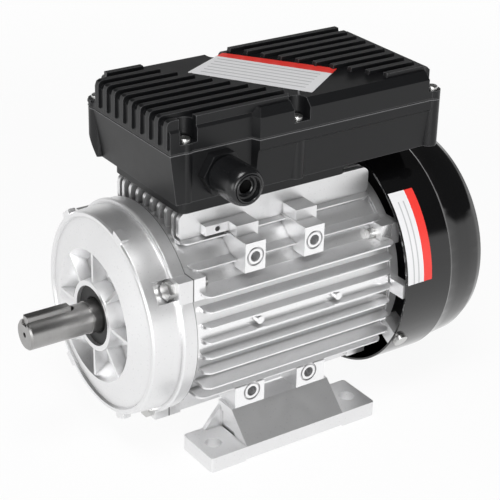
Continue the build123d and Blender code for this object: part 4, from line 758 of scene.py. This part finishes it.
@dataclass
class GlandNut:
    """Smooth cap nut of the cable gland, domed towards its opening."""

    radius: float = 11.6
    foot_inner: float = 9.9
    foot_chamfer: float = 0.5
    foot_depth: float = 9.0
    dome_length: float = 6.5
    dome_radius: float = 8.7
    rim_height: float = 0.5
    opening: tuple[tuple[float, float], ...] = (
        (0.8, 8.3), (0.2, 8.2), (0.0, 7.95), (0.0, 7.45), (0.3, 7.2), (3.6, 7.1), (4.0, 6.0), (3.6, 4.5),
        (4.0, 3.9), (4.8, 3.9), (4.8, 8.2),
    )
    well_radius: float = 8.2
    dome_steps: int = 10
    turn_steps: int = 96

    def profile(self, length: float) -> list[tuple[float, float]]:
        """Outline from the foot outwards and back through the opening.

        Args:
            length: Length of the nut, in millimetres.

        Returns:
            Points as distance from the foot and radius, in millimetres.
        """
        shoulder = length - self.rim_height - self.dome_length
        outline = [
            (0.0, self.foot_inner), (0.0, self.radius - self.foot_chamfer), (self.foot_chamfer, self.radius),
        ]
        for step in range(self.dome_steps + 1):
            bend = step / self.dome_steps * math.pi / 2
            drop = (self.radius - self.dome_radius) * (1 - math.cos(bend))
            outline.append((shoulder + self.dome_length * math.sin(bend), self.radius - drop))
        outline += [(length - depth, radius) for depth, radius in self.opening]
        outline += [(self.foot_depth, self.well_radius), (self.foot_depth, self.foot_inner)]
        return outline

    def build(self) -> None:
        """Turn the outline about the gland's axis, in the node's place."""
        low, high = (Vector(corner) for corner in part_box("gland_nut"))
        middle = (low + high) / 2
        outline = self.profile((high.y - low.y) / MM)
        points = []
        for turn in turns(self.turn_steps):
            for along, radius in outline:
                aside, up = radius * MM * math.cos(turn), radius * MM * math.sin(turn)
                points.append(Vector((middle.x + aside, high.y - along * MM, middle.z + up)))
        faces = swept_faces(len(outline), self.turn_steps, self.turn_steps)
        nut = mesh_object("gland_cap_nut", points, faces)
        orient_outwards(nut)
        put_in_place(nut, NUT_PLASTIC, "gland_nut")
        LOG.info("gland: %s of radius %.1f mm", nut.name, self.radius)


@dataclass
class TopLabel:
    """Label without print on the free band of the box cover."""

    corners: tuple[tuple[float, float], ...] = ((23.4, 44.6), (66.9, -14.8), (29.5, -40.4), (-14.2, 25.2))
    level: float = 209.04
    thickness: float = 0.12
    corner_radius: float = 1.0

    def build(self) -> None:
        """Make the sheet from its four corners, with rounded corners."""
        corners = [Vector((*corner, self.level)) * MM for corner in self.corners]
        lower = rounded_outline(corners, self.corner_radius * MM)
        upper = [point + Vector((0, 0, self.thickness * MM)) for point in lower]
        label = mesh_object("top_label", lower + upper, prism_faces(0, len(lower)))
        first, second, third, fourth = corners
        across = (second - third).normalized()
        finish = Sticker(
            "top_label_skin", "box_plastic", (0.78, 0.78, 0.79), LABEL_ROUGHNESS,
            origin=tuple(third), across=tuple(across), width=(second - third).length, band_low=0.79,
            along=tuple((fourth - third).normalized()), length=(fourth - third).length,
        )
        label.data.materials.append(finish.material())
        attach(label, "stator")
        LOG.info("label: %s at %s", label.name, tuple(round(value, 4) for value in first))


@dataclass
class CowlLabel:
    """Label without print, bent round the side of the fan cowl."""

    start_x: float = 82.6
    end_x: float = 101.5
    band_x: float = 95.0
    low_angle: float = 3.4
    high_angle: float = 48.0
    radius: float = 76.03
    thickness: float = 0.12
    steps: int = 40

    def build(self) -> None:
        """Make the bent sheet."""
        rows = []
        for step in range(self.steps + 1):
            angle = math.radians(self.low_angle + (self.high_angle - self.low_angle) * step / self.steps)
            row = []
            for radius in (self.radius, self.radius + self.thickness):
                for x in (self.start_x, self.end_x):
                    place = (x, -radius * math.cos(angle), radius * math.sin(angle))
                    row.append(Vector(place) * MM + AXIS_POINT)
            rows.append(row)
        corners = [point for row in rows for point in (row[0], row[1], row[3], row[2])]
        faces = swept_faces(4, self.steps, self.steps + 1)
        last = 4 * self.steps
        faces.append((3, 2, 1, 0))
        faces.append((last, last + 1, last + 2, last + 3))
        label = mesh_object("cowl_label", corners, faces)
        for polygon in label.data.polygons:
            polygon.use_smooth = True
        split = label.modifiers.new("crisp_edges", "EDGE_SPLIT")
        split.split_angle = CREASE
        finish = Sticker(
            "cowl_label_skin", "cowl_paint", (0.74, 0.74, 0.75), LABEL_ROUGHNESS,
            origin=(self.start_x * MM, 0.0, SHAFT_HEIGHT), across=(1.0, 0.0, 0.0),
            length=self.radius * math.sin(math.radians(self.high_angle)) * MM, rows=5,
            width=(self.end_x - self.start_x) * MM,
            band_low=(self.band_x - self.start_x) / (self.end_x - self.start_x),
        )
        label.data.materials.append(finish.material())
        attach(label, "stator")
        LOG.info("label: %s over %.1f degrees", label.name, self.high_angle - self.low_angle)


def turns(steps: int) -> list[float]:
    """Angles of equal steps round a circle, in radians."""
    return [2 * math.pi * step / steps for step in range(steps)]


def swept_faces(count: int, spans: int, outlines: int) -> list[tuple[int, ...]]:
    """Faces between outlines that follow each other.

    Args:
        count: Number of points of each outline.
        spans: Number of gaps that are closed.
        outlines: Number of outlines, of which the last is followed by the first.

    Returns:
        The faces, by the numbers of their points.
    """
    faces = []
    for span in range(spans):
        here, there = count * span, count * ((span + 1) % outlines)
        for place in range(count):
            other = (place + 1) % count
            faces.append((here + place, here + other, there + other, there + place))
    return faces


def prism_faces(first: int, count: int) -> list[tuple[int, ...]]:
    """Faces of a closed block between two outlines.

    Args:
        first: Number of its first point.
        count: Number of points of each outline.

    Returns:
        The faces, by the numbers of their points.
    """
    near = range(first, first + count)
    far = range(first + count, first + 2 * count)
    faces = [tuple(near), tuple(reversed(far))]
    for place in range(count):
        other = (place + 1) % count
        faces.append((near[place], far[place], far[other], near[other]))
    return faces


def mesh_object(name: str, points: list[Vector], faces: list[tuple[int, ...]]) -> bpy.types.Object:
    """Make a mesh object in the scene.

    Args:
        name: Name of the object.
        points: Its points, in metres.
        faces: Its faces, by the numbers of their points.

    Returns:
        The object.
    """
    mesh = bpy.data.meshes.new(name)
    mesh.from_pydata([tuple(point) for point in points], [], faces)
    mesh.validate()
    mesh.update()
    made = bpy.data.objects.new(name, mesh)
    bpy.context.scene.collection.objects.link(made)
    return made


def put_in_place(piece: bpy.types.Object, finish: Finish, node: str, smooth: bool = True) -> None:
    """Dress a piece and let it stand for a CAD node of the stator.

    Args:
        piece: The piece.
        finish: Its finish.
        node: Name of the CAD node.
        smooth: Whether curved faces are shaded as one.
    """
    piece.data.materials.append(finish.material())
    soften(piece, finish.edge, smooth)
    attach(piece, "stator")
    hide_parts(node)


def copy_of_node(
    node: str, title: str, moved: Callable[[Vector], Vector] | None = None
) -> bpy.types.Object:
    """Copy a CAD node's mesh into a piece of its own.

    Args:
        node: Name of the CAD node.
        title: Name of the piece.
        moved: Gives each point of level and upright faces its new place.

    Returns:
        The piece.
    """
    piece = bpy.data.objects.new(title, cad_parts[node].data.copy())
    bpy.context.scene.collection.objects.link(piece)
    piece.data.materials.clear()
    drop_stored_normals(piece)
    shape = bmesh.new()
    shape.from_mesh(piece.data)
    bmesh.ops.remove_doubles(shape, verts=shape.verts, dist=WELD_GAP)
    if moved is not None:
        shape.normal_update()
        upright, level = 0.02, 0.98
        square = [
            vertex for vertex in shape.verts
            if all(not upright < abs(face.normal.z) < level for face in vertex.link_faces)
        ]
        for vertex in square:
            vertex.co = moved(vertex.co)
    shape.to_mesh(piece.data)
    shape.free()
    return piece


def combine(piece: bpy.types.Object, tool: bpy.types.Object, operation: str) -> None:
    """Cut a tool from a piece or join it to the piece, and remove the tool.

    Args:
        piece: The piece.
        tool: The closed shape that cuts or joins.
        operation: DIFFERENCE or UNION.
    """
    orient_outwards(tool)
    step = piece.modifiers.new(tool.name, "BOOLEAN")
    step.operation = operation
    step.solver = "EXACT"
    step.object = tool
    bake_modifiers(piece)
    bpy.data.objects.remove(tool)


def clean_faces(piece: bpy.types.Object) -> None:
    """Take out slivers and cut the rest into triangles."""
    shape = bmesh.new()
    shape.from_mesh(piece.data)
    bmesh.ops.remove_doubles(shape, verts=shape.verts, dist=SLIVER)
    bmesh.ops.dissolve_degenerate(shape, dist=SLIVER, edges=shape.edges)
    flat = math.radians(0.5)
    bmesh.ops.dissolve_limit(
        shape, angle_limit=flat, verts=shape.verts, edges=shape.edges, delimit={"NORMAL"}
    )
    bmesh.ops.triangulate(shape, faces=shape.faces, quad_method="BEAUTY", ngon_method="BEAUTY")
    shape.to_mesh(piece.data)
    shape.free()


def orient_outwards(piece: bpy.types.Object) -> None:
    """Turn all faces of a closed piece outwards."""
    shape = bmesh.new()
    shape.from_mesh(piece.data)
    bmesh.ops.recalc_face_normals(shape, faces=shape.faces)
    shape.to_mesh(piece.data)
    shape.free()


def bake_modifiers(piece: bpy.types.Object) -> None:
    """Apply all modifiers of a piece to its mesh."""
    bpy.context.view_layer.update()
    graph = bpy.context.evaluated_depsgraph_get()
    mesh = bpy.data.meshes.new_from_object(piece.evaluated_get(graph))
    piece.modifiers.clear()
    piece.data = mesh


def rounded_outline(corners: list[Vector], radius: float, steps: int = 6) -> list[Vector]:
    """Round the corners of a flat outline.

    Args:
        corners: Corners in order, in metres.
        radius: Distance from each corner at which its curve starts.
        steps: Number of pieces of each curve.

    Returns:
        The points of the rounded outline.
    """
    points = []
    for place, corner in enumerate(corners):
        before = corner + (corners[place - 1] - corner).normalized() * radius
        after = corner + (corners[(place + 1) % len(corners)] - corner).normalized() * radius
        for step in range(steps + 1):
            share = step / steps
            points.append(before * (1 - share) ** 2 + corner * 2 * share * (1 - share) + after * share**2)
    return points


@dataclass(frozen=True)
class Lamp:
    """Soft square lamp, with its place and size in metres and its power in watts."""

    name: str
    place: tuple[float, float, float]
    size: float
    power: float

    def hang(self, aim: Vector) -> None:
        """Add the lamp and point it at an aim, in metres."""
        data = bpy.data.lights.new(self.name, "AREA")
        data.shape = "SQUARE"
        data.size = self.size
        data.energy = self.power
        lamp = bpy.data.objects.new(self.name, data)
        bpy.context.scene.collection.objects.link(lamp)
        lamp.location = self.place
        lamp.rotation_mode = "QUATERNION"
        lamp.rotation_quaternion = (aim - Vector(self.place)).to_track_quat("-Z", "Y")
        LOG.info("lamp: %s, %.0f W", self.name, self.power)


@dataclass
class Studio:
    """Pale floor, soft lamps and the camera at the photograph's angle."""

    lamps: tuple[Lamp, ...] = (
        Lamp("front_lamp", (-0.75, -1.6, 0.35), 1.0, 18.0),
        Lamp("side_lamp", (-1.7, -0.3, 0.35), 0.8, 6.0),
        Lamp("top_lamp", (-0.35, -0.45, 1.65), 0.8, 19.0),
    )
    lamp_aim: tuple[float, float, float] = (0.02, 0.0, 0.10)
    lens: float = 110.99
    sensor: float = 36.0
    nearest: float = 0.05
    furthest: float = 50.0
    azimuth: float = -34.85
    elevation: float = 26.05
    roll: float = 1.43
    target: tuple[float, float, float] = (0.08439, 0.09713, 0.0365)
    distance: float = 1.094
    floor_radius: float = 2.0
    floor_steps: int = 96
    floor_grey: Colour = (0.86, 0.86, 0.86)
    floor_glow: float = 0.93
    fade_start: float = 0.35
    fade_end: float = 1.2
    white: Colour = (1.0, 1.0, 1.0)
    ceiling: float = 0.06
    wall_top: float = 0.165
    ceiling_start: float = 0.27

    def back(self) -> Vector:
        """Direction from the target to the camera."""
        turn, lift = math.radians(self.azimuth), math.radians(self.elevation)
        return Vector((math.sin(turn) * math.cos(lift), -math.cos(turn) * math.cos(lift), math.sin(lift)))

    def build_camera(self) -> None:
        """Place the camera as the photograph was taken."""
        data = bpy.data.cameras.new("photo_camera")
        data.lens = self.lens
        data.sensor_width = self.sensor
        data.clip_start = self.nearest
        data.clip_end = self.furthest
        camera = bpy.data.objects.new("photo_camera", data)
        bpy.context.scene.collection.objects.link(camera)
        back = self.back()
        right = (-back).cross(Vector((0, 0, 1))).normalized()
        up = right.cross(-back)
        tilt = math.radians(self.roll)
        turned_right = right * math.cos(tilt) + up * math.sin(tilt)
        turned_up = -right * math.sin(tilt) + up * math.cos(tilt)
        rotation = Matrix((turned_right, turned_up, back)).transposed().to_4x4()
        camera.matrix_world = Matrix.Translation(Vector(self.target) + back * self.distance) @ rotation
        bpy.context.scene.camera = camera
        LOG.info("camera: lens %.1f mm at %s", self.lens, tuple(round(v, 3) for v in camera.location))

    def build_world(self) -> None:
        """White all round and below, under a dim ceiling."""
        world = bpy.data.worlds.new("studio_world")
        bpy.context.scene.world = world
        graph = Graph(world)
        direction = graph.node("ShaderNodeTexCoord", output="Generated")
        height = graph.node("ShaderNodeSeparateXYZ", values={0: direction}, output=Axis.Z.value)
        walls = graph.node("ShaderNodeBackground", {}, {"Color": self.white, "Strength": 1.0})
        ceiling = graph.node("ShaderNodeBackground", {}, {"Color": self.white, "Strength": self.ceiling})
        above = height.rise(self.wall_top, self.ceiling_start)
        graph.close(graph.node("ShaderNodeMixShader", {}, {0: above, 1: walls, 2: ceiling}))

    def floor_material(self) -> bpy.types.Material:
        """Pale floor that fades out into the white of the background."""
        graph = Graph(bpy.data.materials.new("studio_floor"))
        across, along = graph.place(Axis.X), graph.place(Axis.Y)
        distance = (across * across + along * along) ** 0.5
        diffuse = graph.node("ShaderNodeBsdfDiffuse", {}, {"Color": self.floor_grey})
        glow = graph.node("ShaderNodeEmission", {}, {"Color": self.white, "Strength": 1.0})
        seen = graph.node("ShaderNodeLightPath", output="Is Camera Ray")
        for ray in ("Is Glossy Ray", "Is Transmission Ray"):
            seen = seen + graph.node("ShaderNodeLightPath", output=ray)
        lifted = graph.node("ShaderNodeMixShader", {}, {0: seen * self.floor_glow, 1: diffuse, 2: glow})
        clear = graph.node("ShaderNodeBsdfTransparent")
        fade = distance.rise(self.fade_start, self.fade_end)
        surface = graph.node("ShaderNodeMixShader", {}, {0: fade, 1: lifted, 2: clear})
        return graph.close(surface)

    def build_floor(self) -> None:
        """Lay the round floor under the feet."""
        rim = [
            Vector((math.cos(turn), math.sin(turn), 0.0)) * self.floor_radius
            for turn in turns(self.floor_steps)
        ]
        floor = mesh_object("studio_floor", rim, [tuple(range(self.floor_steps))])
        floor.data.materials.append(self.floor_material())

    def build(self) -> None:
        """Set up the whole studio."""
        self.build_camera()
        for lamp in self.lamps:
            lamp.hang(Vector(self.lamp_aim))
        self.build_world()
        self.build_floor()


def sub_assemblies() -> list[SubAssembly]:
    """All groups of CAD nodes with their finishes, in the order in which they are dressed."""
    return [
        SubAssembly("frame", {
            "foot_near": CAST, "foot_far": CAST, "foot_bolts": ZINC,
        }),
        SubAssembly("endshields", {
            "drive_endshield": CAST, "drive_endshield_bolts": ZINC, "fan_endshield": CAST,
            "fan_endshield_bolts": ZINC, "shaft_seal": RUBBER, "wave_spring": PRESSED_STEEL,
        }),
        SubAssembly("stator", {
            "stator_core": CORE, "drive_winding_head": COPPER, "fan_winding_head": COPPER,
        }),
        SubAssembly("rotor", {
            "shaft": STEEL, "shaft_key": STEEL, "rotor_core": CORE, "rotor_end_rings": DIE_CAST,
            "cooling_fan": FAN_PLASTIC, "fan_circlip": ZINC,
        }),
        SubAssembly("bearings", {
            "drive_bearing_outer_ring": GROUND_STEEL, "drive_bearing_inner_ring": GROUND_STEEL,
            "drive_bearing_balls": GROUND_STEEL, "drive_bearing_cage": PRESSED_STEEL,
            "fan_bearing_outer_ring": GROUND_STEEL, "fan_bearing_inner_ring": GROUND_STEEL,
            "fan_bearing_balls": GROUND_STEEL, "fan_bearing_cage": PRESSED_STEEL,
        }),
        SubAssembly("switch", {
            "governor_plate": ZINC, "switch_collar": NYLON, "upper_governor_weight": ZINC,
            "lower_governor_weight": ZINC, "switch_plate": BOARD, "contact_arm": BRASS,
        }),
        SubAssembly("cowl", {"fan_cowl": COWL_PAINT, "cowl_screws": ZINC}),
        SubAssembly("box", {
            "base_gasket": RUBBER, "cover_gasket": RUBBER, "box_screws": ZINC, "cover_screws": ZINC,
        }),
        SubAssembly("gland", {
            "gland_body": GLAND_PLASTIC, "gland_seal": RUBBER, "gland_locknut": GLAND_PLASTIC,
        }),
        SubAssembly("terminals", {
            "terminal_board": BOARD, "terminal_studs": BRASS, "terminal_links": BRASS,
            "run_capacitor": CAN_METAL, "start_capacitor": CAN_PLASTIC, "capacitor_clamps": ZINC,
        }),
    ]


def mouldings() -> list[Moulding]:
    """Cover and base of the box, each cut at the far left corner."""
    pocket = ((-64.5, 39.2), (-64.5, 60.0), (-80.0, 60.0), (-80.0, 39.2))
    slant_low = ((-74.45, 33.55), (-53.25, 54.75), (-60.0, 68.0), (-86.0, 42.0))
    slant_high = ((-78.9, 38.0), (-57.7, 59.2), (-60.0, 68.0), (-86.0, 42.0))
    screw_seat, above_ribs = 196.8, 216.0
    below_base, slant_start = 160.0, 175.0
    return [
        Moulding("box_cover", "box_lid", BOX_PLASTIC, screw_seat, pocket, above_ribs, pocket),
        Moulding("box_base", "box_tray", BOX_PLASTIC, below_base, slant_low, slant_start, slant_high),
    ]


def main() -> None:
    """Dress the motor, add its labels and set up the studio."""
    logging.basicConfig(level=logging.INFO, format="%(name)s: %(message)s")
    bpy.context.scene.view_settings.view_transform = "Standard"
    for group in sub_assemblies():
        group.dress()
    HousingCasting().build()
    for moulding in mouldings():
        moulding.build()
    GlandNut().build()
    TopLabel().build()
    CowlLabel().build()
    Studio().build()


if __name__ == "__main__":
    main()
